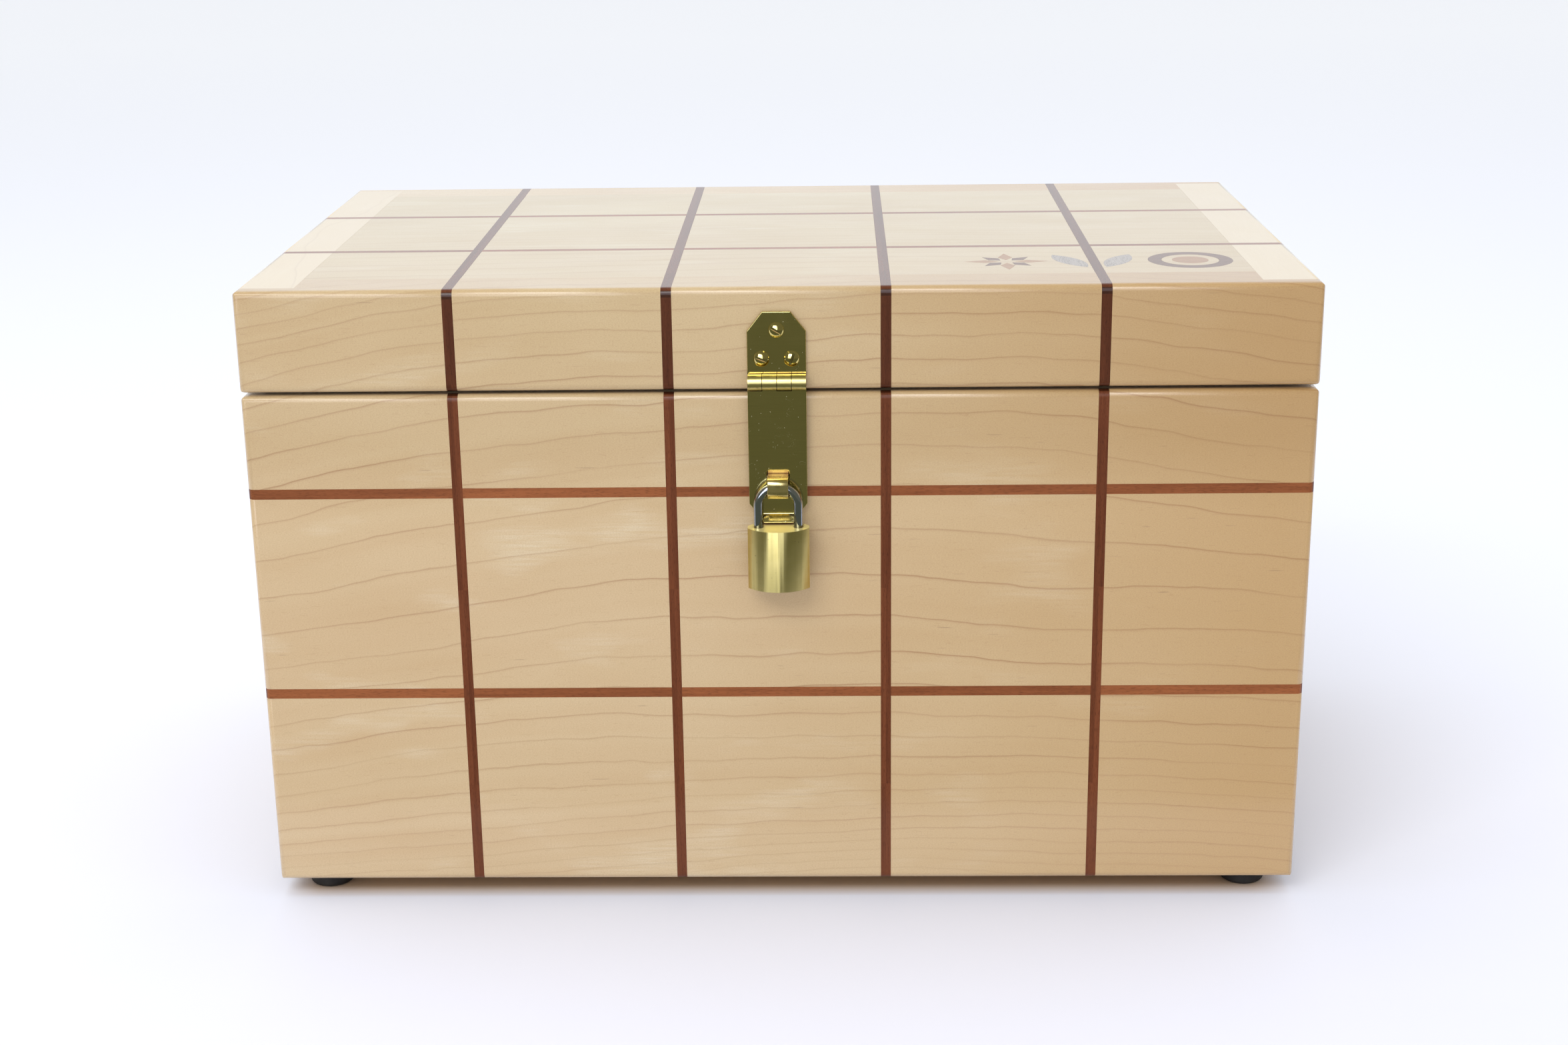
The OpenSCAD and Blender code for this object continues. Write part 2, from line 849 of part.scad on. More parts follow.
// Side outline of the loop, from the wood outwards
module loop_outline(grow) {
    reach = staple_out - grow;
    low = staple_z[0] + grow;
    high = staple_z[1] - grow;
    r_top = loop_top_r - grow;
    r_low = loop_low_r - grow;
    difference() {
        translate([-reach, low]) square([reach, high - low]);
        difference() {
            translate([-reach - 1, high - r_top]) square([r_top + 1, r_top + 1]);
            translate([-reach + r_top, high - r_top]) circle(r_top);
        }
        difference() {
            translate([-reach - 1, low - 1]) square([r_low + 1, r_low + 1]);
            translate([-reach + r_low, low + r_low]) circle(r_low);
        }
    }
}

module staple_loop() {
    color(brass) translate([0, front_y, 0]) rotate([90, 0, 90])
        linear_extrude(staple_w, center = true) difference() {
            loop_outline(0);
            loop_outline(staple_t);
        }
}

module staple_screws() {
    color(brass) for (z = base_screw_z)
        translate([0, front_y - plate_t, z]) rotate([-90, 0, 0]) difference() {
            union() {
                translate([0, 0, sink_gap / 2])
                    cylinder(r1 = base_sink_r - sink_gap / 2, r2 = screw_r,
                             h = plate_t - sink_gap / 2);
                translate([0, 0, plate_t / 2]) cylinder(r = screw_r, h = screw_l + plate_t / 2);
            }
            drive_slot(sink_gap / 2, base_sink_r, sunk_drive);
        }
}

// ---------- padlock ----------

module padlock_shackle() {
    color(steel) translate([0, lock_y, 0]) difference() {
        union() {
            translate([0, 0, crown_z]) rotate([90, 0, 0])
                rotate_extrude(angle = 180) translate([leg_x, 0]) circle(wire_r);
            translate([-leg_x, 0, heel_end]) cylinder(r = wire_r, h = crown_z - heel_end);
            translate([leg_x, 0, toe_end]) cylinder(r = wire_r, h = crown_z - toe_end);
        }
        // Notch for the latch in the toe, long flat for the stop pin in the heel
        box_from([0, -wire_d, latch_z - latch_r - 2 * fit],
                 [latch_tip + latch_throw + fit, wire_d, latch_z + latch_r + 2 * fit]);
        box_from([stop_x - small_pin_r - fit, -wire_d, stop_z - lock_drop - small_pin_r - fit],
                 [0, wire_d, stop_z + small_pin_r + fit]);
    }
}

// Outline of the body seen from above: two shallow arcs, cut square at the sides
module lock_outline() {
    rise = (lock_t - lock_edge) / 2;
    r = (pow(lock_w / 2, 2) + pow(rise, 2)) / (2 * rise);
    intersection() {
        translate([0, lock_t / 2 - r]) circle(r, $fn = 120);
        translate([0, r - lock_t / 2]) circle(r, $fn = 120);
        square([lock_w, lock_t], center = true);
    }
}

module chamber(z, x0, x1, r) {
    translate([x0, 0, z]) rotate([0, 90, 0]) cylinder(r = r, h = x1 - x0);
}

// Pin, or the hole for it, that runs back through the body
module cross_pin(x, z, length) {
    translate([x, pin_hole_y, z]) rotate([-90, 0, 0]) cylinder(r = small_pin_r, h = length);
}

module padlock_body() {
    color(brass) translate([0, lock_y, 0]) difference() {
        translate([0, 0, lock_z0]) linear_extrude(lock_h) lock_outline();
        translate([-leg_x, 0, heel_hole_z]) cylinder(r = leg_hole_r, h = lock_h);
        translate([leg_x, 0, toe_hole_z]) cylinder(r = leg_hole_r, h = lock_h);
        translate([0, 0, lock_z0 - 1])
            cylinder(r = plug_r + plug_gap, h = plug_top + plug_room - lock_z0 + 1);
        translate([0, 0, plug_top]) cylinder(r = cam_room_r, h = cam_rise + fit);
        chamber(latch_z, latch_back - latch_room, leg_x, latch_r + fit);
        for (z = chamber_z) chamber(z, plug_r / 2, lock_w, chamber_r);
        cross_pin(stop_x, stop_z, lock_t);
        cross_pin(retainer_x, retainer_z, lock_t);
    }
}

module padlock_plug() {
    color(brass) translate([0, lock_y, 0]) difference() {
        union() {
            translate([0, 0, plug_z0]) cylinder(r = plug_r, h = plug_top - plug_z0);
            translate([-cam_off, cam_off, plug_top - eps]) cylinder(r = cam_r, h = cam_rise + eps);
        }
        box_from([-key_slot[0] / 2, -key_slot[1] / 2, lock_z0],
                 [key_slot[0] / 2, key_slot[1] / 2, key_slot_top]);
        for (z = chamber_z) rotate(90) chamber(z, 0, 2 * plug_r, chamber_r);
        // Groove that the retaining pin runs in
        translate([0, 0, retainer_z - small_pin_r - run_gap]) difference() {
            cylinder(r = 2 * plug_r, h = 2 * (small_pin_r + run_gap));
            cylinder(r = -retainer_x - small_pin_r - run_gap, h = 2 * (small_pin_r + run_gap));
        }
    }
}

module padlock_latch() {
    color(steel) translate([0, lock_y, 0]) difference() {
        chamber(latch_z, latch_back, latch_tip, latch_r);
        // Slot that the plug's cam turns in
        box_from([-cam_off - cam_r - fit, -2 * latch_r, latch_z - 2 * latch_r],
                 [-cam_off + cam_r + fit, 2 * latch_r, plug_top + cam_rise + 2 * fit]);
    }
}

// Wire coil along Z, as a swept tube with flat-sided wire
module coil(coil_r, coil_wire, length, turns) {
    per_turn = 12;
    sides = 6;
    rings = turns * per_turn;
    pts = [
        for (i = [0:rings], j = [0:sides - 1])
            let (a = 360 * i / per_turn, b = 360 * j / sides,
                 rr = coil_r + coil_wire / 2 * cos(b),
                 z = coil_wire / 2 + (length - coil_wire) * i / rings + coil_wire / 2 * sin(b))
            [rr * cos(a), rr * sin(a), z]
    ];
    walls = [
        for (i = [0:rings - 1], j = [0:sides - 1])
            let (k = (j + 1) % sides)
            [i * sides + j, i * sides + k, (i + 1) * sides + k, (i + 1) * sides + j]
    ];
    first_end = [for (j = [sides - 1:-1:0]) j];
    last_end = [for (j = [0:sides - 1]) rings * sides + j];
    polyhedron(pts, concat(walls, [first_end, last_end]));
}

module shackle_spring() {
    gap = 0.1;
    color(steel) translate([-leg_x, lock_y, heel_hole_z + gap])
        coil(heel_coil[0], heel_coil[1], heel_end - heel_hole_z - 2 * gap, 5);
}

module shackle_stop_pin() {
    color(steel) translate([0, lock_y, 0]) cross_pin(stop_x, stop_z, stop_pin_l);
}

module plug_retaining_pin() {
    color(steel) translate([0, lock_y, 0]) cross_pin(retainer_x, retainer_z, retainer_l);
}

module key_pins() {
    color(brass) translate([0, lock_y, 0])
        for (z = chamber_z) rotate(90) chamber(z, key_pin_tip, plug_r - 0.25, chamber_r - fit);
}

module driver_pins() {
    color(brass) translate([0, lock_y, 0])
        for (z = chamber_z) chamber(z, driver_x, driver_x + driver_l, chamber_r - fit);
}

module pin_springs() {
    color(steel) translate([0, lock_y, 0]) for (z = chamber_z)
        translate([driver_x + driver_l + 0.1, 0, z]) rotate([0, 90, 0])
            coil(pin_coil[0], pin_coil[1], cap_in - driver_x - driver_l - 0.2, 4);
}

module chamber_caps() {
    color(brass) translate([0, lock_y, 0])
        for (z = chamber_z) chamber(z, cap_in, lock_w / 2, chamber_r);
}

box_front_board();
box_back_board();
box_left_board();
box_right_board();
box_bottom_panel();
box_front_inlay();
box_back_inlay();
box_left_inlay();
box_right_inlay();
rim_felt();
rubber_feet();
foot_screws();
hinge_left_box_leaf();
hinge_right_box_leaf();
hinge_pins();
hinge_box_screws();
staple_base_plate();
staple_loop();
staple_screws();
lid_front_board();
lid_back_board();
lid_left_board();
lid_right_board();
lid_top_panel();
lid_front_inlay();
lid_back_inlay();
lid_left_inlay();
lid_right_inlay();
lid_top_long_inlay();
lid_top_cross_inlay();
star_light_rays();
star_dark_rays();
leaf_pair();
ring_inlay();
ring_centre();
hinge_left_lid_leaf();
hinge_right_lid_leaf();
hinge_lid_screws();
hasp_leaf();
hasp_pin();
hasp_screws();
hasp_strap();
padlock_shackle();
padlock_body();
padlock_plug();
padlock_latch();
shackle_spring();
shackle_stop_pin();
plug_retaining_pin();
key_pins();
driver_pins();
pin_springs();
chamber_caps();
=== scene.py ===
"""The looks of the inlaid wooden puzzle box, put around the frame that the CAD gives."""

import math

import bmesh
import bpy
from mathutils import Matrix, Vector, noise


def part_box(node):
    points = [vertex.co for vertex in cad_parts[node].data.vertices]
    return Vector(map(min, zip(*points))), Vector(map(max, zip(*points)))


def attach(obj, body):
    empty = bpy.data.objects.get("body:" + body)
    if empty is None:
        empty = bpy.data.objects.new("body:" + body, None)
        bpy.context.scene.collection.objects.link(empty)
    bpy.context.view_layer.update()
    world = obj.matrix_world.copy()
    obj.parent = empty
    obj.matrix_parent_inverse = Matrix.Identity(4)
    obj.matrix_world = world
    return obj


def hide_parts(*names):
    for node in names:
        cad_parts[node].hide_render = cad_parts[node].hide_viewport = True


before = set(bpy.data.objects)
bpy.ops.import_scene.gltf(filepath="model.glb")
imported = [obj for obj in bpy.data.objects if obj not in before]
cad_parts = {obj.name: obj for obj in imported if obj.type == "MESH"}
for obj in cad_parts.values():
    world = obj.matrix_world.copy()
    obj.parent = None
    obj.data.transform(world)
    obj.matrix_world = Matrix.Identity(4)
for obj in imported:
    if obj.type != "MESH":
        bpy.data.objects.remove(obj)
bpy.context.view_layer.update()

MM = 0.001

# ---------- places and sizes, as in the CAD ----------

FRONT_LO, FRONT_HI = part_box("box_front_board")
BACK_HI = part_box("box_back_board")[1]
PIN_LO, PIN_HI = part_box("hasp_pin")

FACE_Y = FRONT_LO[1]
BOX_BOTTOM = FRONT_LO[2]
MID_Y = (FRONT_LO[1] + BACK_HI[1]) / 2
GRID = 70 * MM
STRIP_W = 3.4 * MM
BARREL_R = 2.6 * MM
BARREL_SKIN = 0.05 * MM
PLATE_FROM_AXLE = 3.4 * MM
WELD = 0.001 * MM


# ---------- camera ----------


LENS_MM = 52.72
SENSOR_MM = 36
CAMERA_TURN = 0.0200
CAMERA_ROLL = 0.0130
CAMERA_TILT = -0.3012
CAMERA_RIGHT = 18.9 * MM
CAMERA_BACK = 717.6 * MM
CAMERA_UP = 351.3 * MM


def make_camera():
    """A camera a little right of the middle, above the lid, looking down; angles in radians."""
    data = bpy.data.cameras.new("camera")
    data.lens = LENS_MM
    data.sensor_width = SENSOR_MM
    data.clip_start = 10 * MM
    camera = bpy.data.objects.new("camera", data)
    bpy.context.scene.collection.objects.link(camera)
    spin = Matrix.Rotation(CAMERA_TURN, 4, "Z") @ Matrix.Rotation(CAMERA_ROLL, 4, "Y")
    aim = spin @ Matrix.Rotation(math.pi / 2 + CAMERA_TILT, 4, "X")
    place = Vector((CAMERA_RIGHT, FACE_Y - CAMERA_BACK, BOX_BOTTOM + CAMERA_UP))
    camera.matrix_world = Matrix.Translation(place) @ aim
    bpy.context.scene.camera = camera


# ---------- material helpers ----------


class Shader:
    """One node material, with a short call for each kind of node."""

    def __init__(self, name, **finish):
        self.material = bpy.data.materials.new(name)
        self.material.use_nodes = True
        self.tree = self.material.node_tree
        self.tree.nodes.clear()
        self.bsdf = self.node("ShaderNodeBsdfPrincipled", **finish)
        self.node("ShaderNodeOutputMaterial", Surface=self.bsdf.outputs[0])
        self.place = self.node("ShaderNodeTexCoord")

    def node(self, kind, props=None, **inputs):
        """Adds a node; in the names of its inputs, an underscore stands for a space."""
        made = self.tree.nodes.new(kind)
        for key, value in (props or {}).items():
            setattr(made, key, value)
        for key, value in inputs.items():
            self.feed(made, key.replace("_", " "), value)
        return made

    def feed(self, target, socket, value):
        """Links a socket, or sets a constant on it."""
        if isinstance(value, bpy.types.NodeSocket):
            self.tree.links.new(value, target.inputs[socket])
        else:
            target.inputs[socket].default_value = value

    def math(self, operation, a, b=0.0, c=0.0, clamp=False):
        """One sum on numbers or sockets; clamp keeps the result from 0 to 1."""
        made = self.node("ShaderNodeMath", {"operation": operation, "use_clamp": clamp})
        for index, value in enumerate((a, b, c)):
            self.feed(made, index, value)
        return made.outputs[0]

    def vector(self, x, y, z):
        """Three numbers or sockets as one vector."""
        return self.node("ShaderNodeCombineXYZ", X=x, Y=y, Z=z).outputs[0]

    def split(self, vector):
        """The X, Y and Z sockets of a vector."""
        return self.node("ShaderNodeSeparateXYZ", Vector=vector).outputs

    def stretch(self, vector, scale):
        """A vector times a scale for each axis."""
        made = self.node("ShaderNodeVectorMath", {"operation": "MULTIPLY"})
        self.feed(made, 0, vector)
        self.feed(made, 1, scale)
        return made.outputs[0]

    def shift(self, vector, offset):
        """A vector plus an offset."""
        made = self.node("ShaderNodeVectorMath", {"operation": "ADD"})
        self.feed(made, 0, vector)
        self.feed(made, 1, offset)
        return made.outputs[0]

    def noise(self, vector, detail=2.0, roughness=0.5, distortion=0.0):
        """Smooth noise from 0 to 1 with features about one unit long."""
        made = self.node(
            "ShaderNodeTexNoise",
            Vector=vector,
            Scale=1.0,
            Detail=detail,
            Roughness=roughness,
            Distortion=distortion,
        )
        return made.outputs["Fac"]

    def ramp(self, value, stops):
        """Piecewise value: stops are (position, value)."""
        made = self.node("ShaderNodeValToRGB", Fac=value)
        points = made.color_ramp.elements
        points[0].position, points[-1].position = stops[0][0], stops[-1][0]
        points[0].color = (stops[0][1],) * 3 + (1,)
        points[-1].color = (stops[-1][1],) * 3 + (1,)
        for position, level in stops[1:-1]:
            points.new(position).color = (level,) * 3 + (1,)
        return made.outputs[0]

    def mix(self, factor, a, b, blend="MIX"):
        """Mixes two colours; a and b are colours or sockets."""
        made = self.node("ShaderNodeMix", {"data_type": "RGBA", "blend_type": blend})
        self.feed(made, 0, factor)
        for index, value in ((6, a), (7, b)):
            if isinstance(value, tuple):
                value = value + (1,)
            self.feed(made, index, value)
        return made.outputs[2]

    def bump(self, height, strength, distance):
        """Fine relief, in the normal only."""
        made = self.node("ShaderNodeBump", Height=height, Strength=strength, Distance=distance)
        self.feed(self.bsdf, "Normal", made.outputs[0])

    def set(self, **inputs):
        """Feeds the principled shader and returns the finished material."""
        for key, value in inputs.items():
            self.feed(self.bsdf, key.replace("_", " "), value)
        return self.material


def tone(shader, vector, low, high, detail=2.0):
    """Noise mapped between two levels, for gentle variation."""
    field = shader.noise(vector, detail)
    made = shader.node(
        "ShaderNodeMapRange", Value=field, From_Min=0.3, From_Max=0.7, To_Min=low, To_Max=high
    )
    return made.outputs[0]


def grain_space(shader, axes, seed):
    """Coordinates in metres: along the grain, across the face, and through the board."""
    parts = shader.split(shader.place.outputs["Object"])
    ordered = shader.vector(*[parts["xyz".index(a)] for a in axes])
    return shader.shift(ordered, tuple(0.37 * seed * k for k in (1.0, 1.7, 2.3)))


def end_grain(shader, axis):
    """1 where the face cuts straight across the grain."""
    normal = shader.split(shader.place.outputs["Normal"])["xyz".index(axis)]
    return shader.math("GREATER_THAN", shader.math("ABSOLUTE", normal), 0.8)


# ---------- materials ----------

MAPLE_BASE = (0.560, 0.412, 0.218)
MAPLE_LIGHT = (0.650, 0.515, 0.310)
MAPLE_RED = (0.550, 0.366, 0.195)
MAPLE_WARM = (0.510, 0.325, 0.140)
MAPLE_LINE = (0.270, 0.110, 0.036)
MAPLE_END = (0.360, 0.225, 0.110)
# A pale colour painted where the figure of the wood would catch the light: painted sheen.
MAPLE_PAINTED_SHEEN = (0.730, 0.640, 0.460)
MAPLE_END_LIGHT = (0.58, 0.42, 0.24)
MAPLE_MINERAL = (0.20, 0.11, 0.07)
MAPLE_UPPER_DARKENING = (0.89, 0.86, 0.80)
DARKENING_FADE = 25 * MM

RINGS_A_METRE = 70.0
RING_CROWDING = 4600.0
FAINT_FROM = 110.0
LINE_WIDTH = 1.1 * MM
NO_TINT = (1, 1, 1)


def growth_rings(s, p, middle, bow, bow_at):
    """Growth rings of a flat-sawn board: wide in the middle, crowded towards its edges.

    Returns the ring count, which grows across the board, and how many rings there are to a metre.
    """
    along, across, through = s.split(p)
    lean = s.math("POWER", s.math("SUBTRACT", along, bow_at), 2.0)
    wander = tone(s, s.stretch(p, (7, 11, 11)), -4 * MM, 4 * MM, 1.0)
    ripple = tone(s, s.stretch(p, (42, 60, 60)), -0.7 * MM, 0.7 * MM, 2.0)
    drift = s.math("ADD", s.math("ADD", wander, ripple), s.math("MULTIPLY", lean, bow))
    depth = s.math("MULTIPLY", through, 0.55)
    t = s.math("ADD", s.math("ADD", s.math("SUBTRACT", across, middle), drift), depth)
    square = s.math("MULTIPLY", t, t)
    cube = s.math("MULTIPLY", square, t)
    steady = s.math("MULTIPLY", t, RINGS_A_METRE)
    count = s.math("ADD", steady, s.math("MULTIPLY", cube, RING_CROWDING))
    density = s.math("ADD", s.math("MULTIPLY", square, 3 * RING_CROWDING), RINGS_A_METRE)
    return count, density


def maple(name, axes, seed, middle, bow, bow_at, warm_shade_end=0.9, shade=NO_TINT, painted_top_light=0.0,
          darker_from=None):
    """Hard maple: thin brown growth lines, painted sheen patches and very fine fibre, under satin
    oil.

    middle is where across the board its rings are widest; bow and bow_at curve them along it.
    warm_shade_end is how much warmer and darker the board gets along the grain, partly painted
    shade, and painted_top_light how much painted sheen its upward faces get.
    darker_from is where across the board it begins to get darker, fully so one fade further on.
    """
    s = Shader(name, Coat_Weight=1.0, Coat_Roughness=0.17, Coat_IOR=1.45, Sheen_Weight=0.16,
               Sheen_Roughness=0.3, Specular_IOR_Level=0.35)
    p = grain_space(s, axes, seed)
    raw = grain_space(s, axes, 0)
    count, density = growth_rings(s, raw, middle, bow, bow_at)
    along = s.split(raw)[0]

    nearest = s.math("ROUND", count)
    away = s.math("DIVIDE", s.math("SUBTRACT", count, nearest), density)
    one_side = s.math("MAXIMUM", s.math("MULTIPLY", away, -1.0), s.math("MULTIPLY", away, 3.2))
    edge = s.math("DIVIDE", one_side, LINE_WIDTH)
    line = s.ramp(edge, [(0.0, 1.0), (0.18, 0.70), (0.42, 0.18), (1.0, 0.0)])
    ring_seat = s.vector(s.math("MULTIPLY", nearest, 7.31), s.math("MULTIPLY", along, 9.0), seed)
    own = tone(s, ring_seat, 0.22, 1.0, 2.0)
    crowded = s.math("MINIMUM", s.math("DIVIDE", FAINT_FROM, density), 1.0)
    line = s.math("MULTIPLY", line, s.math("MULTIPLY", own, crowded))

    patches = tone(s, s.stretch(p, (9, 24, 24)), 0.0, 1.0, 3.0)
    colour = s.mix(patches, MAPLE_BASE, MAPLE_LIGHT)
    blush = tone(s, s.stretch(p, (3.1, 9, 9)), 0.0, 0.55, 2.0)
    colour = s.mix(blush, colour, MAPLE_RED)
    band_seat = s.vector(s.math("MULTIPLY", along, 2.0), s.math("MULTIPLY", count, 1.1), seed)
    colour = s.mix(tone(s, band_seat, 0.0, 0.35), colour, MAPLE_LIGHT)
    # Painted sheen: lighter patches and threads that stand in for the shimmer of light on the
    # figure.
    sheen_patches = s.ramp(s.noise(s.stretch(p, (19, 52, 52)), 2.0, 0.55),
                     [(0.0, 0.0), (0.56, 0.0), (0.72, 1.0), (1.0, 1.0)])
    threads = tone(s, s.stretch(p, (70, 1300, 1300)), 0.1, 1.0, 2.0)
    painted_sheen = s.math("MULTIPLY", s.math("MULTIPLY", sheen_patches, threads), 0.55)
    colour = s.mix(painted_sheen, colour, MAPLE_PAINTED_SHEEN)
    # Warmer and darker towards one end along the grain: partly the wood's tone, partly painted
    # shade, which on the front darkens the right end, away from the key light.
    warm_shade_ramp = s.math("MULTIPLY_ADD", along, 5.4, 0.12, clamp=True)
    colour = s.mix(s.math("MULTIPLY", warm_shade_ramp, warm_shade_end), colour, MAPLE_WARM)
    colour = s.mix(s.math("MULTIPLY", line, 0.60), colour, MAPLE_LINE)

    fibre = s.noise(s.stretch(p, (1900, 4600, 4600)), 2.0, 0.65)
    dark_fibre = s.math("SUBTRACT", fibre, 0.42, clamp=True)
    colour = s.mix(s.math("MULTIPLY", dark_fibre, 0.85), colour, MAPLE_LINE)
    rays = s.noise(s.stretch(p, (280, 2300, 2300)), 1.0)
    dash = s.ramp(rays, [(0.0, 0.0), (0.66, 0.0), (0.76, 1.0), (1.0, 1.0)])
    colour = s.mix(s.math("MULTIPLY", dash, 0.12), colour, MAPLE_LINE)
    mineral = s.ramp(s.noise(s.stretch(s.shift(p, (3.1, 0.7, 1.9)), (75, 1500, 1500)), 1.0),
                     [(0.0, 0.0), (0.76, 0.0), (0.82, 1.0), (1.0, 1.0)])
    colour = s.mix(s.math("MULTIPLY", mineral, 0.45), colour, MAPLE_MINERAL)
    # A tint over the whole board; on the top panel it is painted light.
    if shade != NO_TINT:
        colour = s.mix(1.0, colour, shade, "MULTIPLY")
    # Darker beyond darker_from across the board: on the front board, towards its top.
    if darker_from:
        beyond = s.math("SUBTRACT", s.split(raw)[1], darker_from)
        deep = s.math("MULTIPLY", beyond, 1 / DARKENING_FADE, clamp=True)
        colour = s.mix(deep, colour, MAPLE_UPPER_DARKENING, "MULTIPLY")

    end = end_grain(s, axes[0])
    speckle = s.noise(s.stretch(p, (2400, 2400, 2400)), 2.0)
    end_colour = s.mix(s.math("MULTIPLY", speckle, 0.8), MAPLE_END, MAPLE_END_LIGHT)
    end_colour = s.mix(s.math("MULTIPLY", line, 0.6), end_colour, MAPLE_LINE)
    colour = s.mix(s.math("MULTIPLY", end, 0.55), colour, end_colour)
    # Painted light: faces that look upward are lightened towards the painted sheen colour.
    if painted_top_light:
        up = s.math("GREATER_THAN", s.split(s.place.outputs["Normal"])[2], 0.8)
        colour = s.mix(s.math("MULTIPLY", up, painted_top_light), colour, MAPLE_PAINTED_SHEEN)
    s.bump(fibre, 0.05, 0.03 * MM)
    return s.set(Base_Color=colour, Roughness=tone(s, s.stretch(p, (30, 60, 60)), 0.40, 0.52))


def timber(s, axes, seed, dark, light, pore_depth=0.5):
    """Colour and height of a dense dark wood: straight streaks, each cut strip its own shade."""
    p = grain_space(s, axes, seed)
    streak = s.noise(s.stretch(p, (45, 1100, 1100)), 4.0, 0.62)
    band = s.noise(s.stretch(p, (9, 260, 260)), 2.0)
    cell = s.node("ShaderNodeVectorMath", {"operation": "FLOOR"})
    place = s.place.outputs["Object"]
    s.feed(cell, 0, s.shift(s.stretch(place, (1 / GRID,) * 3), (0.5, 0.06, 0.4)))
    own = s.node("ShaderNodeTexWhiteNoise", Vector=cell.outputs[0]).outputs["Value"]
    level = s.math("ADD", s.math("MULTIPLY", streak, 0.8), s.math("MULTIPLY", band, 0.4))
    level = s.math("SUBTRACT", s.math("MULTIPLY_ADD", own, 0.3, level), 0.30, clamp=True)
    colour = s.mix(level, dark, light)
    pore_field = s.noise(s.stretch(p, (480, 4400, 4400)), 1.0)
    pores = s.ramp(pore_field, [(0.0, 1.0), (0.36, 0.6), (0.43, 0.0), (1.0, 0.0)])
    darkest = tuple(0.35 * c for c in dark)
    colour = s.mix(s.math("MULTIPLY", pores, pore_depth), colour, darkest)
    end = end_grain(s, axes[0])
    colour = s.mix(s.math("MULTIPLY", end, 0.75), colour, darkest)
    return colour, s.math("SUBTRACT", streak, pores)


def strip_shader(name, coat=1.0):
    """The oiled finish of an inlaid strip, before its colour."""
    return Shader(name, Roughness=0.45, Coat_Weight=coat, Coat_Roughness=0.17, Coat_IOR=1.38,
                  Specular_IOR_Level=0.10)


def inlay_wood(name, axes, seed, dark, light, pore_depth=0.5):
    """One inlaid timber."""
    s = strip_shader(name)
    colour, height = timber(s, axes, seed, dark, light, pore_depth)
    s.bump(height, 0.08, 0.04 * MM)
    return s.set(Base_Color=colour)


def face_strips(name, run, centre, shade=1.0):
    """Deep red uprights and lighter rails on one face; run is the axis that the rails follow."""
    s = strip_shader(name, 0.45)
    through = "y" if run == "x" else "x"
    deep, red = (tuple(shade * c for c in colour) for colour in (STRIP_DEEP, STRIP_RED))
    up_colour, up_height = timber(s, "z" + run + through, 2, deep, red)
    rail_colour, rail_height = timber(s, run + "z" + through, 5, RAIL_DEEP, RAIL_RED, 0.5)
    across = s.split(s.place.outputs["Object"])["xyz".index(run)]
    pitch = s.math("WRAP", s.math("SUBTRACT", across, centre), GRID / 2, -GRID / 2)
    half_cell = (GRID - STRIP_W) / 2 - 0.02 * MM
    upright = s.math("GREATER_THAN", s.math("ABSOLUTE", pitch), half_cell)
    s.bump(s.mix(upright, rail_height, up_height), 0.10, 0.04 * MM)
    return s.set(Base_Color=s.mix(upright, rail_colour, up_colour))


def specks(s, place, size, share):
    """Small round marks, in a share of the cells of an uneven grid of the given size."""
    cells = s.node("ShaderNodeTexVoronoi", Vector=s.stretch(place, (1 / size,) * 3), Scale=1.0)
    near = s.math("LESS_THAN", cells.outputs["Distance"], 0.20)
    chosen = s.math("LESS_THAN", s.split(cells.outputs["Color"])[0], share)
    return s.math("MULTIPLY", near, chosen)


def scratches(s, place, bend, share, width):
    """Hairlines: contours of a noise, kept only in some patches."""
    curl = s.noise(s.stretch(place, bend), 1.0, 0.5, 1.2)
    hair = s.math("LESS_THAN", s.math("ABSOLUTE", s.math("SUBTRACT", curl, 0.5)), width)
    patch = s.math("GREATER_THAN", s.noise(s.stretch(place, (230, 230, 230)), 1.0), share)
    return s.math("MULTIPLY", hair, patch)


# The colour of the painted shade in crevices.
CREVICE_SHADE_COLOUR = (0.190, 0.080, 0.045)


def crevice_shade(s, colour, reach=2.0 * MM, strength=0.85):
    """Painted shade: dark brown in slots and in gaps narrower than the reach, found by ambient
    occlusion.
    """
    shelter = s.node("ShaderNodeAmbientOcclusion", {"samples": 8}, Distance=reach).outputs["AO"]
    crevice_darkening = s.ramp(shelter, [(0.0, 1.0), (0.42, 0.90), (0.74, 0.0), (1.0, 0.0)])
    return s.mix(s.math("MULTIPLY", crevice_darkening, strength), colour, CREVICE_SHADE_COLOUR)


SHEET_BRASS = (0.80, 0.68, 0.27)
LOOP_BRASS = (0.86, 0.70, 0.30)
BRASS_SCRATCH = (0.90, 0.84, 0.60)
BRASS_SPOT = (0.62, 0.45, 0.18)
BRASS_TARNISH = (0.30, 0.20, 0.07)


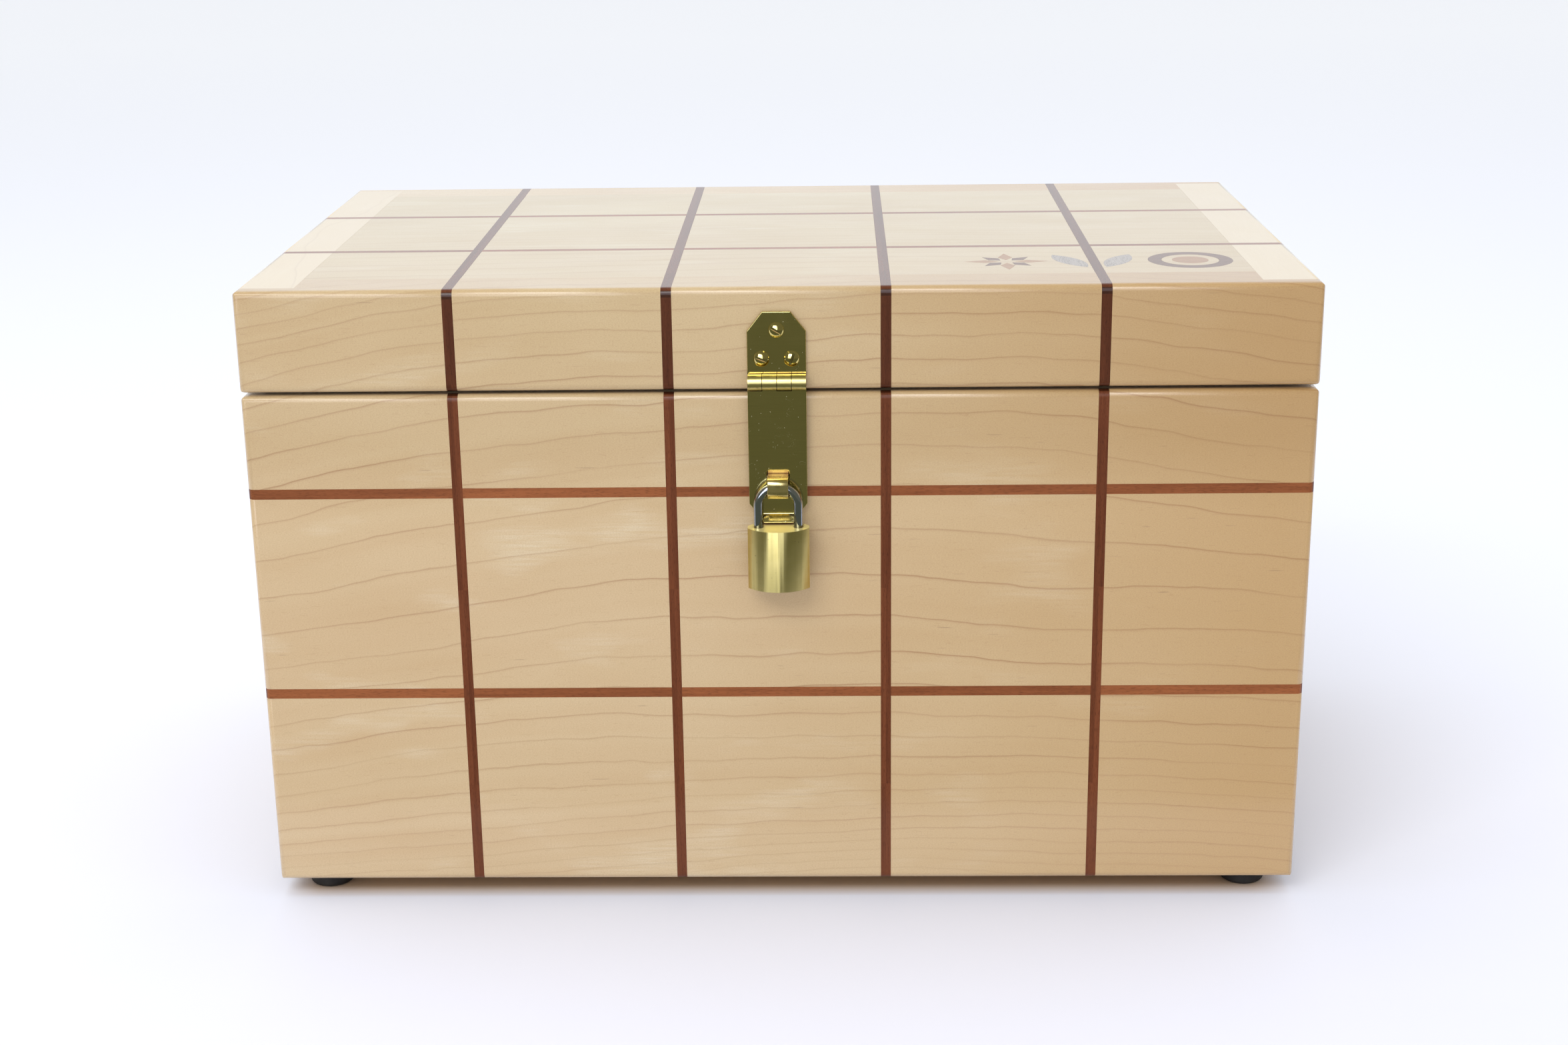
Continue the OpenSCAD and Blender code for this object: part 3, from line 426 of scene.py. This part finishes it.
def polished_brass(name, tint=SHEET_BRASS, rough=0.10, axle=None):
    """Rolled brass sheet with polishing lines, small scratches and dull spots.

    axle is the radius of a rolled barrel and its axis' place in Y and Z: it is rubbed duller.
    """
    s = Shader(name, Metallic=1.0)
    place = s.place.outputs["Object"]
    haze = tone(s, s.stretch(place, (160, 160, 160)), 0.0, 1.0, 3.0)
    rolled = s.noise(s.stretch(place, (90, 300, 4200)), 2.0)
    marks = s.math("MAXIMUM", specks(s, place, 0.75 * MM, 0.05),
                   scratches(s, place, (210, 210, 330), 0.66, 0.0022))
    spots = specks(s, s.shift(place, (0.2, 0.1, 0.4)), 4.0 * MM, 0.08)
    colour = s.mix(s.math("MULTIPLY", haze, 0.35), tint, tuple(c * 0.84 for c in tint))
    furrow = s.math("SUBTRACT", rolled, 0.3, clamp=True)
    colour = s.mix(s.math("MULTIPLY", furrow, 0.6), colour, tuple(c * 0.72 for c in tint))
    colour = s.mix(s.math("MULTIPLY", marks, 0.6), colour, BRASS_SCRATCH)
    colour = s.mix(s.math("MULTIPLY", spots, 0.35), colour, BRASS_SPOT)
    level = s.math("MULTIPLY_ADD", haze, 0.05, rough)
    level = s.math("MULTIPLY_ADD", marks, 0.22, level)
    if axle:
        radius, y, z = axle
        parts = s.split(s.shift(place, (0, -y, -z)))
        squares = [s.math("POWER", part, 2.0) for part in (parts[1], parts[2])]
        reach = s.math("SQRT", s.math("ADD", *squares))
        stain = s.ramp(s.noise(s.stretch(place, (520, 900, 900)), 3.0, 0.7),
                       [(0.0, 0.0), (0.60, 0.0), (0.68, 1.0), (1.0, 1.0)])
        low = s.math("LESS_THAN", parts[2], -0.1 * MM)
        on_barrel = s.math("LESS_THAN", reach, radius)
        tarnish = s.math("MULTIPLY", s.math("MULTIPLY", stain, low), on_barrel)
        colour = s.mix(s.math("MULTIPLY", tarnish, 0.55), colour, BRASS_TARNISH)
        level = s.math("ADD", level, s.math("MULTIPLY", on_barrel, 0.20))
    s.bump(s.math("ADD", rolled, s.math("MULTIPLY", marks, 2.0)), 0.05, 0.02 * MM)
    # Painted shade in slots and gaps.
    return s.set(Base_Color=crevice_shade(s, colour), Roughness=level)


LOCK_BRASS = (0.83, 0.705, 0.270)
LOCK_BRASS_DULL = (0.75, 0.635, 0.230)
LOCK_GLEAM = (0.88, 0.81, 0.50)
LOCK_STAIN = (0.36, 0.27, 0.12)
LOCK_SPECK = (0.30, 0.20, 0.09)


def brushed_brass(name):
    """Milled brass, brushed across so that its gloss smears upright, with a few stains."""
    s = Shader(name, Metallic=1.0, Anisotropic=1.0)
    place = s.place.outputs["Object"]
    brush = s.noise(s.stretch(place, (60, 60, 6500)), 3.0, 0.7)
    haze = tone(s, s.stretch(place, (140, 140, 220)), 0.0, 1.0, 3.0)
    blots = s.noise(s.stretch(place, (760, 760, 1400)), 2.0, 0.6)
    stain = s.ramp(blots, [(0.0, 0.0), (0.71, 0.0), (0.77, 1.0), (1.0, 1.0)])
    colour = s.mix(haze, LOCK_BRASS, LOCK_BRASS_DULL)
    colour = s.mix(s.math("MULTIPLY", brush, 0.25), colour, LOCK_GLEAM)
    colour = s.mix(s.math("MULTIPLY", stain, 0.45), colour, LOCK_STAIN)
    dots = specks(s, place, 1.1 * MM, 0.03)
    colour = s.mix(s.math("MULTIPLY", dots, 0.4), colour, LOCK_SPECK)
    upright = s.node("ShaderNodeVectorTransform",
                     {"vector_type": "VECTOR", "convert_from": "OBJECT", "convert_to": "WORLD"},
                     Vector=s.vector(0.0, 0.2, 1.0))
    s.feed(s.bsdf, "Tangent", upright.outputs[0])
    s.bump(brush, 0.06, 0.02 * MM)
    # Painted shade in slots and gaps.
    return s.set(Base_Color=crevice_shade(s, colour), Roughness=s.math("MULTIPLY_ADD", brush, 0.08, 0.34))


CHROME = (0.50, 0.54, 0.62)
PLAIN_STEEL = (0.55, 0.55, 0.56)


def plated_steel(name, tint=CHROME, rough=0.04):
    """Bright plating with very fine drawing lines and a little handling wear."""
    s = Shader(name, Metallic=1.0)
    place = s.place.outputs["Object"]
    lines = s.noise(s.stretch(place, (2600, 2600, 160)), 2.0)
    wear = tone(s, s.stretch(place, (240, 240, 240)), 0.0, 1.0, 3.0)
    colour = s.mix(s.math("MULTIPLY", wear, 0.4), tint, tuple(0.85 * c for c in tint))
    # Painted shade in slots and gaps.
    colour = crevice_shade(s, colour, 0.8 * MM, 0.5)
    s.bump(lines, 0.03, 0.02 * MM)
    return s.set(Base_Color=colour, Roughness=s.math("ADD", s.math("MULTIPLY", wear, 0.08), rough))


RUBBER_BLACK = (0.012, 0.012, 0.013)
RUBBER_DUST = (0.045, 0.043, 0.040)


def moulded_rubber(name):
    """Black moulded rubber, slightly dusty."""
    s = Shader(name, Specular_IOR_Level=0.35)
    place = s.place.outputs["Object"]
    grit = s.noise(s.stretch(place, (2600, 2600, 2600)), 2.0)
    dust = tone(s, s.stretch(place, (180, 180, 180)), 0.0, 0.5, 3.0)
    colour = s.mix(dust, RUBBER_BLACK, RUBBER_DUST)
    s.bump(grit, 0.25, 0.05 * MM)
    return s.set(Base_Color=colour, Roughness=s.math("ADD", s.math("MULTIPLY", grit, 0.2), 0.5))


FELT_DARK = (0.010, 0.045, 0.018)
FELT_GREEN = (0.040, 0.125, 0.055)
FELT_WORN = (0.060, 0.120, 0.060)


def wool_felt(name):
    """Dark green felt: matted fibres and a soft sheen."""
    s = Shader(name, Roughness=0.95, Sheen_Weight=0.5, Sheen_Roughness=0.5, Specular_IOR_Level=0.1)
    place = s.place.outputs["Object"]
    fibres = s.noise(s.stretch(place, (1900, 1900, 1900)), 4.0, 0.75, 1.5)
    patches = tone(s, s.stretch(place, (60, 60, 60)), 0.0, 1.0, 3.0)
    colour = s.mix(fibres, FELT_DARK, FELT_GREEN)
    colour = s.mix(s.math("MULTIPLY", patches, 0.3), colour, FELT_WORN)
    s.bump(fibres, 0.6, 0.12 * MM)
    return s.set(Base_Color=colour)


# ---------- finishing the CAD nodes ----------


def soften(node, width, angle=40):
    """Welds the node's tessellation and takes the sharpness off its edges."""
    weld = node.modifiers.new("weld", "WELD")
    weld.merge_threshold = WELD
    bevel = node.modifiers.new("soft_edges", "BEVEL")
    bevel.width = width
    bevel.segments = 2
    bevel.limit_method = "ANGLE"
    bevel.angle_limit = math.radians(angle)
    bevel.harden_normals = True


def dress(name, material, width=0.0):
    """Gives a CAD node its material, and soft edges if it has a width."""
    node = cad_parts[name]
    node.data.materials.clear()
    node.data.materials.append(material)
    if width:
        soften(node, width)


BOARD_EDGE = 0.1 * MM
FRONT_DARKER_FROM = 138 * MM
# Painted light: the top panel's colour is toned for how the light falls on it, though it is the
# same wood.
TOP_PAINTED_TONE = (0.94, 1.0, 1.0)


def dress_wood():
    """Boards and panels; a face of the box and the same face of the lid are cut from one board."""
    front = maple("maple_front", "xzy", seed=1, middle=75 * MM, bow=0.45, bow_at=0.03,
                  darker_from=FRONT_DARKER_FROM)
    back = maple("maple_back", "xzy", seed=4, middle=90 * MM, bow=-0.35, bow_at=-0.06)
    left = maple("maple_left", "yzx", seed=15, middle=120 * MM, bow=-0.5, bow_at=0.0,
                 warm_shade_end=0.2, painted_top_light=0.6)
    right = maple("maple_right", "yzx", seed=19, middle=80 * MM, bow=0.45, bow_at=0.02,
                  warm_shade_end=0.5, painted_top_light=0.6)
    for side, material in (("front", front), ("back", back), ("left", left), ("right", right)):
        dress(f"box_{side}_board", material, BOARD_EDGE)
        dress(f"lid_{side}_board", material, BOARD_EDGE)
    top = maple("maple_top", "xyz", seed=7, middle=10 * MM, bow=0.25, bow_at=0.05,
                warm_shade_end=0.1, shade=TOP_PAINTED_TONE)
    dress("lid_top_panel", top, BOARD_EDGE)
    bottom = maple("maple_bottom", "xyz", seed=11, middle=-20 * MM, bow=0.3, bow_at=-0.02)
    dress("box_bottom_panel", bottom, BOARD_EDGE)


STRIP_DEEP = (0.070, 0.017, 0.005)
STRIP_RED = (0.180, 0.052, 0.018)
RAIL_DEEP = (0.150, 0.042, 0.013)
RAIL_RED = (0.380, 0.125, 0.042)
TAN_WOOD = (0.30, 0.15, 0.065), (0.52, 0.31, 0.15)
GREY_WOOD = (0.26, 0.23, 0.21), (0.50, 0.46, 0.42)
DARK_WOOD = (0.10, 0.045, 0.028), (0.24, 0.12, 0.075)
BOX_STRIP_SHADE = 1.17
# Lit and shaded copies of one strip colour: the lid's copy is painted darker than the box's, as
# painted shade.
LID_STRIP_PAINTED_SHADE = 0.76


def dress_inlay():
    """Strips on the six faces, and the motifs at the lid's front right."""
    faces = {"front": ("x", 0.0), "back": ("x", 0.0), "left": ("y", MID_Y), "right": ("y", MID_Y)}
    # The lid's strips get painted shade, darker than the box's.
    for part, shade in (("box", BOX_STRIP_SHADE), ("lid", LID_STRIP_PAINTED_SHADE)):
        for side, (run, centre) in faces.items():
            wood = face_strips(f"{part}_strips_{side}", run, centre, shade)
            dress(f"{part}_{side}_inlay", wood)
    dress("lid_top_long_inlay", inlay_wood("strip_long", "yxz", 3, STRIP_DEEP, STRIP_RED))
    dress("lid_top_cross_inlay", inlay_wood("strip_cross", "xyz", 5, RAIL_DEEP, RAIL_RED, 0.8))
    tan = inlay_wood("tan_wood", "xyz", 6, *TAN_WOOD)
    grey = inlay_wood("grey_wood", "yxz", 8, *GREY_WOOD, pore_depth=1.0)
    dark = inlay_wood("dark_walnut", "xyz", 9, *DARK_WOOD)
    for name, material in {
        "star_light_rays": tan,
        "ring_centre": tan,
        "leaf_pair": grey,
        "star_dark_rays": dark,
        "ring_inlay": dark,
    }.items():
        dress(name, material)


PLATE_EDGE = 0.13 * MM
LOOP_EDGE = 0.15 * MM
LOCK_EDGE = 0.40 * MM


def dress_hardware():
    """Hinges, hasp, staple and padlock, and the hasp's two stamped plates."""
    axle_y, axle_z = (PIN_LO[1] + PIN_HI[1]) / 2, (PIN_LO[2] + PIN_HI[2]) / 2
    brass = polished_brass("hasp_brass", axle=(BARREL_R + BARREL_SKIN, axle_y, axle_z))
    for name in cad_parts:
        if name.startswith(("hinge_", "hasp_", "staple_")) and name != "staple_loop":
            turned = name.endswith(("screws", "pins", "pin"))
            dress(name, brass, 0.0 if turned else PLATE_EDGE)
    stamped_plate("leaf_plate", "hasp_leaf", "lid", brass, axle_z + PLATE_FROM_AXLE, 1)
    stamped_plate("strap_plate", "hasp_strap", "strap", brass, axle_z - PLATE_FROM_AXLE, -1)
    dress("staple_loop", polished_brass("loop_brass", LOOP_BRASS, rough=0.24), LOOP_EDGE)
    lock = brushed_brass("lock_brass")
    dress("padlock_body", lock, LOCK_EDGE)
    for name in ("padlock_plug", "chamber_caps", "key_pins", "driver_pins"):
        dress(name, lock)
    dress("padlock_shackle", plated_steel("chrome_plate"))
    steel = plated_steel("plain_steel", PLAIN_STEEL, rough=0.25)
    for name in ("padlock_latch", "shackle_spring", "shackle_stop_pin", "plug_retaining_pin",
                 "pin_springs", "foot_screws"):
        dress(name, steel)


# ---------- pieces made here ----------


def piece(name, mesh, body, node, material, smooth_angle=40):
    """Puts a finished mesh in place of a CAD node; edges sharper than the angle stay sharp."""
    for face in mesh.faces:
        face.smooth = True
    bmesh.ops.recalc_face_normals(mesh, faces=mesh.faces)
    for edge in mesh.edges:
        if len(edge.link_faces) == 2 and edge.calc_face_angle() > math.radians(smooth_angle):
            edge.smooth = False
    data = bpy.data.meshes.new(name)
    mesh.to_mesh(data)
    mesh.free()
    made = bpy.data.objects.new(name, data)
    made.data.materials.append(material)
    bpy.context.scene.collection.objects.link(made)
    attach(made, body)
    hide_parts(node)
    return made


ROLLED_EDGE = 0.28 * MM


def stamped_plate(name, node, body, material, from_z, way):
    """A hasp plate with the rolled-over edge that stamping leaves.

    Only what lies beyond from_z is rolled: above it where way is 1, below it where way is -1.
    """
    mesh = bmesh.new()
    mesh.from_mesh(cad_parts[node].data)
    bmesh.ops.remove_doubles(mesh, verts=mesh.verts, dist=WELD)
    bmesh.ops.dissolve_limit(
        mesh, angle_limit=math.radians(1), verts=mesh.verts, edges=mesh.edges
    )
    everything = mesh.verts[:] + mesh.edges[:] + mesh.faces[:]
    bmesh.ops.bisect_plane(
        mesh, geom=everything, plane_co=(0, 0, from_z), plane_no=(0, 0, 1), dist=WELD
    )
    rims = []
    for edge in mesh.edges:
        beyond = all((v.co.z - from_z) * way > -0.01 * MM for v in edge.verts)
        if beyond and len(edge.link_faces) == 2 and edge.calc_face_angle() > math.radians(35):
            rims.append(edge)
    bmesh.ops.bevel(
        mesh,
        geom=rims,
        offset=ROLLED_EDGE,
        offset_type="OFFSET",
        segments=3,
        profile=0.5,
        affect="EDGES",
        clamp_overlap=True,
    )
    plate = piece(name, mesh, body, node, material, 50)
    flat = plate.modifiers.new("flat_faces", "WEIGHTED_NORMAL")
    flat.weight = 100
    flat.keep_sharp = True


def lathe(profile, centre, steps=64):
    """A closed solid turned about an upright axis; its profile starts and ends on the axis."""
    mesh = bmesh.new()
    x, y, z = centre
    rings = []
    for radius, height in profile:
        turn = [2 * math.pi * i / steps for i in range(steps if radius else 1)]
        spots = [(x + radius * math.cos(a), y + radius * math.sin(a), z + height) for a in turn]
        rings.append([mesh.verts.new(spot) for spot in spots])
    for low, high in zip(rings, rings[1:]):
        for i in range(steps):
            k = (i + 1) % steps
            corners = [low[i % len(low)], low[k % len(low)]]
            corners += [high[k % len(high)], high[i % len(high)]]
            mesh.faces.new(list(dict.fromkeys(corners)))
    return mesh


def arc(cx, cz, radius, start, end, steps=6):
    """Points of a round corner in a lathe profile, between two angles in degrees."""
    angles = [math.radians(start + (end - start) * i / steps) for i in range(steps + 1)]
    return [(cx + radius * math.cos(a), cz + radius * math.sin(a)) for a in angles]


FOOT_R = 8 * MM
FOOT_RECESS_R = 3.2 * MM
FOOT_RECESS = 2.5 * MM
FOOT_SHANK_R = 1.3 * MM
FOOT_SHANK_DEPTH = 0.6 * MM
FOOT_TREAD_R = 1.6 * MM
FOOT_RIM_R = 0.5 * MM
FOOT_TAPER = 0.35 * MM
FOOT_STEP = 0.15 * MM
FOOT_BEAD_R = 0.2 * MM
FOOT_DRAFT = 0.10 * MM
FOOT_TOP_R = 0.3 * MM


def foot_profile(height):
    """Half of a foot's section: recess for the screw's head, tread, moulding bead and flat top."""
    shank_top = FOOT_RECESS + FOOT_SHANK_DEPTH
    profile = [(0, shank_top), (FOOT_SHANK_R, shank_top)]
    profile += [(FOOT_SHANK_R, FOOT_RECESS), (FOOT_RECESS_R, FOOT_RECESS)]
    profile += arc(FOOT_RECESS_R + FOOT_RIM_R, FOOT_RIM_R, FOOT_RIM_R, 180, 270)
    profile += arc(FOOT_R - FOOT_TAPER - FOOT_TREAD_R, FOOT_TREAD_R, FOOT_TREAD_R, -90, 0)
    profile += [(FOOT_R - FOOT_STEP, 0.60 * height)]
    profile += arc(FOOT_R - FOOT_BEAD_R, 0.66 * height, FOOT_BEAD_R, -60, 60, 4)
    profile += [(FOOT_R - FOOT_DRAFT, 0.72 * height)]
    profile += [(FOOT_R - FOOT_DRAFT, height - FOOT_TOP_R)]
    profile += arc(FOOT_R - FOOT_DRAFT - FOOT_TOP_R, height - FOOT_TOP_R, FOOT_TOP_R, 0, 90, 4)
    return profile + [(0, height)]


def rubber_feet():
    """Four moulded feet, one under each corner."""
    rubber = moulded_rubber("black_rubber")
    lo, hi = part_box("rubber_feet")
    profile = foot_profile(hi[2] - lo[2])
    x = hi[0] - FOOT_R
    for side, where in ((-1, "left"), (1, "right")):
        for y, end in ((lo[1] + FOOT_R, "front"), (hi[1] - FOOT_R, "back")):
            mesh = lathe(profile, (side * x, y, lo[2]))
            piece(f"rubber_foot_{end}_{where}", mesh, "box", "rubber_feet", rubber)


FELT_WIDTH = 8 * MM
FELT_STEP = 1.6 * MM
FELT_FUZZ = 0.09 * MM
FELT_WANDER = 0.35 * MM
FELT_INSET = 0.4 * MM
FELT_LEAST = 0.12 * MM
FELT_ACROSS = (-1, -0.97, -0.88, -0.7, -0.45, -0.15, 0.15, 0.45, 0.7, 0.88, 0.97, 1)
FELT_BY_HINGE = 1 * MM


def seed_of(name):
    """A fixed number for a name, so that each strip has its own unevenness."""
    return sum(ord(letter) for letter in name) % 97


def felt_strip(name, lo, hi, material):
    """A strip of pressed felt: crowned across, its edges soft and a little uneven."""
    long_axis = 0 if hi[0] - lo[0] > hi[1] - lo[1] else 1
    wide_axis = 1 - long_axis
    length, width = hi[long_axis] - lo[long_axis], hi[wide_axis] - lo[wide_axis]
    middle = (lo[wide_axis] + hi[wide_axis]) / 2
    steps = max(8, round(length / FELT_STEP))
    seed = seed_of(name)
    mesh = bmesh.new()
    rows = []
    for i in range(steps + 1):
        at = lo[long_axis] + length * i / steps
        end_fall = min(1.0, min(i, steps - i) / 2 + 0.35)
        top, bottom = [], []
        for v in FELT_ACROSS:
            fuzz = noise.noise(Vector((at * 260, v * width * 130, seed))) * FELT_FUZZ
            edge_line = 0 if v < 0 else 7
            wander = noise.noise(Vector((at * 90, edge_line, seed))) * FELT_WANDER
            crown = (1 - abs(v) ** 7) * (0.86 * end_fall) * (hi[2] - lo[2])
            place = [0, 0, lo[2]]
            place[long_axis] = at
            place[wide_axis] = middle + v * (width / 2 - FELT_INSET) + wander
            bottom.append(mesh.verts.new(place))
            place[2] = min(hi[2], lo[2] + max(FELT_LEAST, crown + fuzz))
            top.append(mesh.verts.new(place))
        rows.append(bottom[::-1] + top)
    for here, after in zip(rows, rows[1:]):
        for j in range(len(here)):
            k = (j + 1) % len(here)
            mesh.faces.new((here[j], here[k], after[k], after[j]))
    mesh.faces.new(rows[0][::-1])
    mesh.faces.new(rows[-1])
    piece(name, mesh, "box", "rim_felt", material, 80)


def rim_felt():
    """Felt on the rim: one strip a side, and three short ones at the back, between the hinges."""
    felt = wool_felt("green_felt")
    lo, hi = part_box("rim_felt")
    hinge_lo, hinge_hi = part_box("hinge_right_box_leaf")
    gap_in, gap_out = hinge_lo[0] - FELT_BY_HINGE, hinge_hi[0] + FELT_BY_HINGE
    front, back = lo[1] + FELT_WIDTH, hi[1] - FELT_WIDTH
    z0, z1 = lo[2], hi[2]
    strips = {
        "felt_front": ((lo[0], lo[1], z0), (hi[0], front, z1)),
        "felt_left": ((lo[0], front, z0), (lo[0] + FELT_WIDTH, back, z1)),
        "felt_right": ((hi[0] - FELT_WIDTH, front, z0), (hi[0], back, z1)),
        "felt_back_left": ((lo[0], back, z0), (-gap_out, hi[1], z1)),
        "felt_back_middle": ((-gap_in, back, z0), (gap_in, hi[1], z1)),
        "felt_back_right": ((gap_out, back, z0), (hi[0], hi[1], z1)),
    }
    for name, (low, high) in strips.items():
        felt_strip(name, low, high, felt)


# ---------- stage ----------


def card(name, corners, material):
    """A flat four-cornered stage piece."""
    mesh = bpy.data.meshes.new(name)
    mesh.from_pydata(corners, [], [(0, 1, 2, 3)])
    made = bpy.data.objects.new(name, mesh)
    made.data.materials.append(material)
    bpy.context.scene.collection.objects.link(made)
    return made


def area_light(name, place, aim, size, power, tint=NO_TINT):
    """A soft rectangular light at a place, turned towards its aim; power in watts."""
    data = bpy.data.lights.new(name, "AREA")
    data.shape = "RECTANGLE"
    data.size, data.size_y = size
    data.energy = power
    data.color = tint
    light = bpy.data.objects.new(name, data)
    light.location = place
    light.rotation_euler = (Vector(aim) - Vector(place)).to_track_quat("-Z", "Y").to_euler()
    bpy.context.scene.collection.objects.link(light)
    return light


def glow(name, shade):
    """A surface that gives off an even light, for what the gloss reflects."""
    material = bpy.data.materials.new(name)
    material.use_nodes = True
    tree = material.node_tree
    tree.nodes.clear()
    light = tree.nodes.new("ShaderNodeEmission")
    light.inputs["Color"].default_value = shade + (1,)
    out = tree.nodes.new("ShaderNodeOutputMaterial")
    tree.links.new(light.outputs[0], out.inputs["Surface"])
    return material


FLOOR_HALF = 40.0
PAPER_NEAR = (0.765, 0.775, 0.862)
PAPER_MID = (0.845, 0.860, 0.920)
PAPER_FAR = (0.920, 0.928, 0.945)
# Painted shadow and painted reflection of the wood on the floor under the box.
UNDER_BOX_SHADOW_TINT = (0.66, 0.50, 0.36)
SIDE_FADE = 12 * MM
DEPTH_FADE = 9 * MM

SKY = (0.955, 0.97, 1.0, 1)
ROOM_LOW = (0.114, 0.120, 0.082)
ROOM_DIM = (0.170, 0.165, 0.115)
WINDOW = (2.32, 2.38, 2.68)
ROOM_X = 1.6
ROOM_FRONT = -1.5
ROOM_BACK = 0.3
ROOM_TOP = 2.4
CEILING_BACK = 1.0
LOW_BACK = -0.17
LOW_Z = 2 * MM
WINDOW_Y = -1.46
WINDOW_X = -1.40, 0.32
WINDOW_Z = 0.21, 1.5


def painted_shadow_under_box(s):
    """Rises to 1 on the floor under the box, where a painted shadow and painted reflection of the
    wood go.
    """
    place = s.split(s.place.outputs["Object"])
    aside = s.math("ABSOLUTE", place[0])
    behind = s.math("ABSOLUTE", s.math("SUBTRACT", place[1], MID_Y))
    half_x, half_y = FRONT_HI[0], MID_Y - FACE_Y
    in_x = s.math("MULTIPLY_ADD", aside, -1 / SIDE_FADE, half_x / SIDE_FADE, clamp=True)
    in_y = s.math("MULTIPLY_ADD", behind, -1 / DEPTH_FADE, half_y / DEPTH_FADE, clamp=True)
    return s.math("MULTIPLY", in_x, in_y)


def white_floor():
    """Matt white paper, a little darker in front of the box and lighter far away; painted shadow
    under it.
    """
    s = Shader("white_floor", Roughness=0.6, Specular_IOR_Level=0.05)
    depth = s.split(s.place.outputs["Object"])[1]
    from_front = s.math("ABSOLUTE", s.math("ADD", depth, 0.25))
    near = s.math("MULTIPLY", from_front, 1.7, clamp=True)
    far = s.math("MULTIPLY_ADD", from_front, 0.4, -0.3, clamp=True)
    paper = s.mix(far, s.mix(near, PAPER_NEAR, PAPER_MID), PAPER_FAR)
    return s.set(Base_Color=s.mix(painted_shadow_under_box(s), paper, UNDER_BOX_SHADOW_TINT))


def level_card(x, y0, y1, z):
    """Corners of a level card that reaches to x on both sides."""
    return [(-x, y0, z), (x, y0, z), (x, y1, z), (-x, y1, z)]


def front_card(x0, x1, y, z0, z1):
    """Corners of an upright card that faces the box's front."""
    return [(x0, y, z0), (x1, y, z0), (x1, y, z1), (x0, y, z1)]


def side_card(x):
    """Corners of an upright card beside the box."""
    return [(x, ROOM_FRONT, 0), (x, ROOM_BACK, 0), (x, ROOM_BACK, ROOM_TOP),
            (x, ROOM_FRONT, ROOM_TOP)]


def make_stage():
    """White floor and sky, soft lights, and a room with a window that only gloss can see."""
    card("floor", level_card(FLOOR_HALF, -FLOOR_HALF, FLOOR_HALF, 0), white_floor())

    world = bpy.data.worlds.new("studio")
    world.use_nodes = True
    background = world.node_tree.nodes["Background"]
    background.inputs["Color"].default_value = SKY
    background.inputs["Strength"].default_value = 1.0
    bpy.context.scene.world = world
    bpy.context.scene.view_settings.view_transform = "Standard"

    room = {
        "dark_room_low": (ROOM_LOW, level_card(ROOM_X, ROOM_FRONT, LOW_BACK, LOW_Z)),
        "bright_window": (WINDOW, front_card(*WINDOW_X, WINDOW_Y, *WINDOW_Z)),
        "dim_room_front": (ROOM_DIM, front_card(-ROOM_X, ROOM_X, ROOM_FRONT, 0, ROOM_TOP)),
        "dim_room_left": (ROOM_DIM, side_card(-ROOM_X)),
        "dim_room_right": (ROOM_DIM, side_card(ROOM_X)),
        "dim_ceiling": (ROOM_DIM, level_card(ROOM_X, ROOM_FRONT, CEILING_BACK, ROOM_TOP)),
    }
    for name, (shade, corners) in room.items():
        made = card(name, corners, glow(name, shade))
        made.visible_camera = False
        made.visible_diffuse = False
        made.visible_shadow = False
        made.visible_transmission = False

    area_light("key", place=(-0.45, -1.15, 1.15), aim=(0, 0, 0.12), size=(1.0, 0.55), power=9,
               tint=(1.0, 0.99, 0.97))
    above = area_light("top", place=(-0.2, 0.2, 1.6), aim=(0, 0, 0.1), size=(1.4, 1.0), power=5)
    above.visible_glossy = False


make_camera()
make_stage()
dress_wood()
dress_inlay()
dress_hardware()
rubber_feet()
rim_felt()
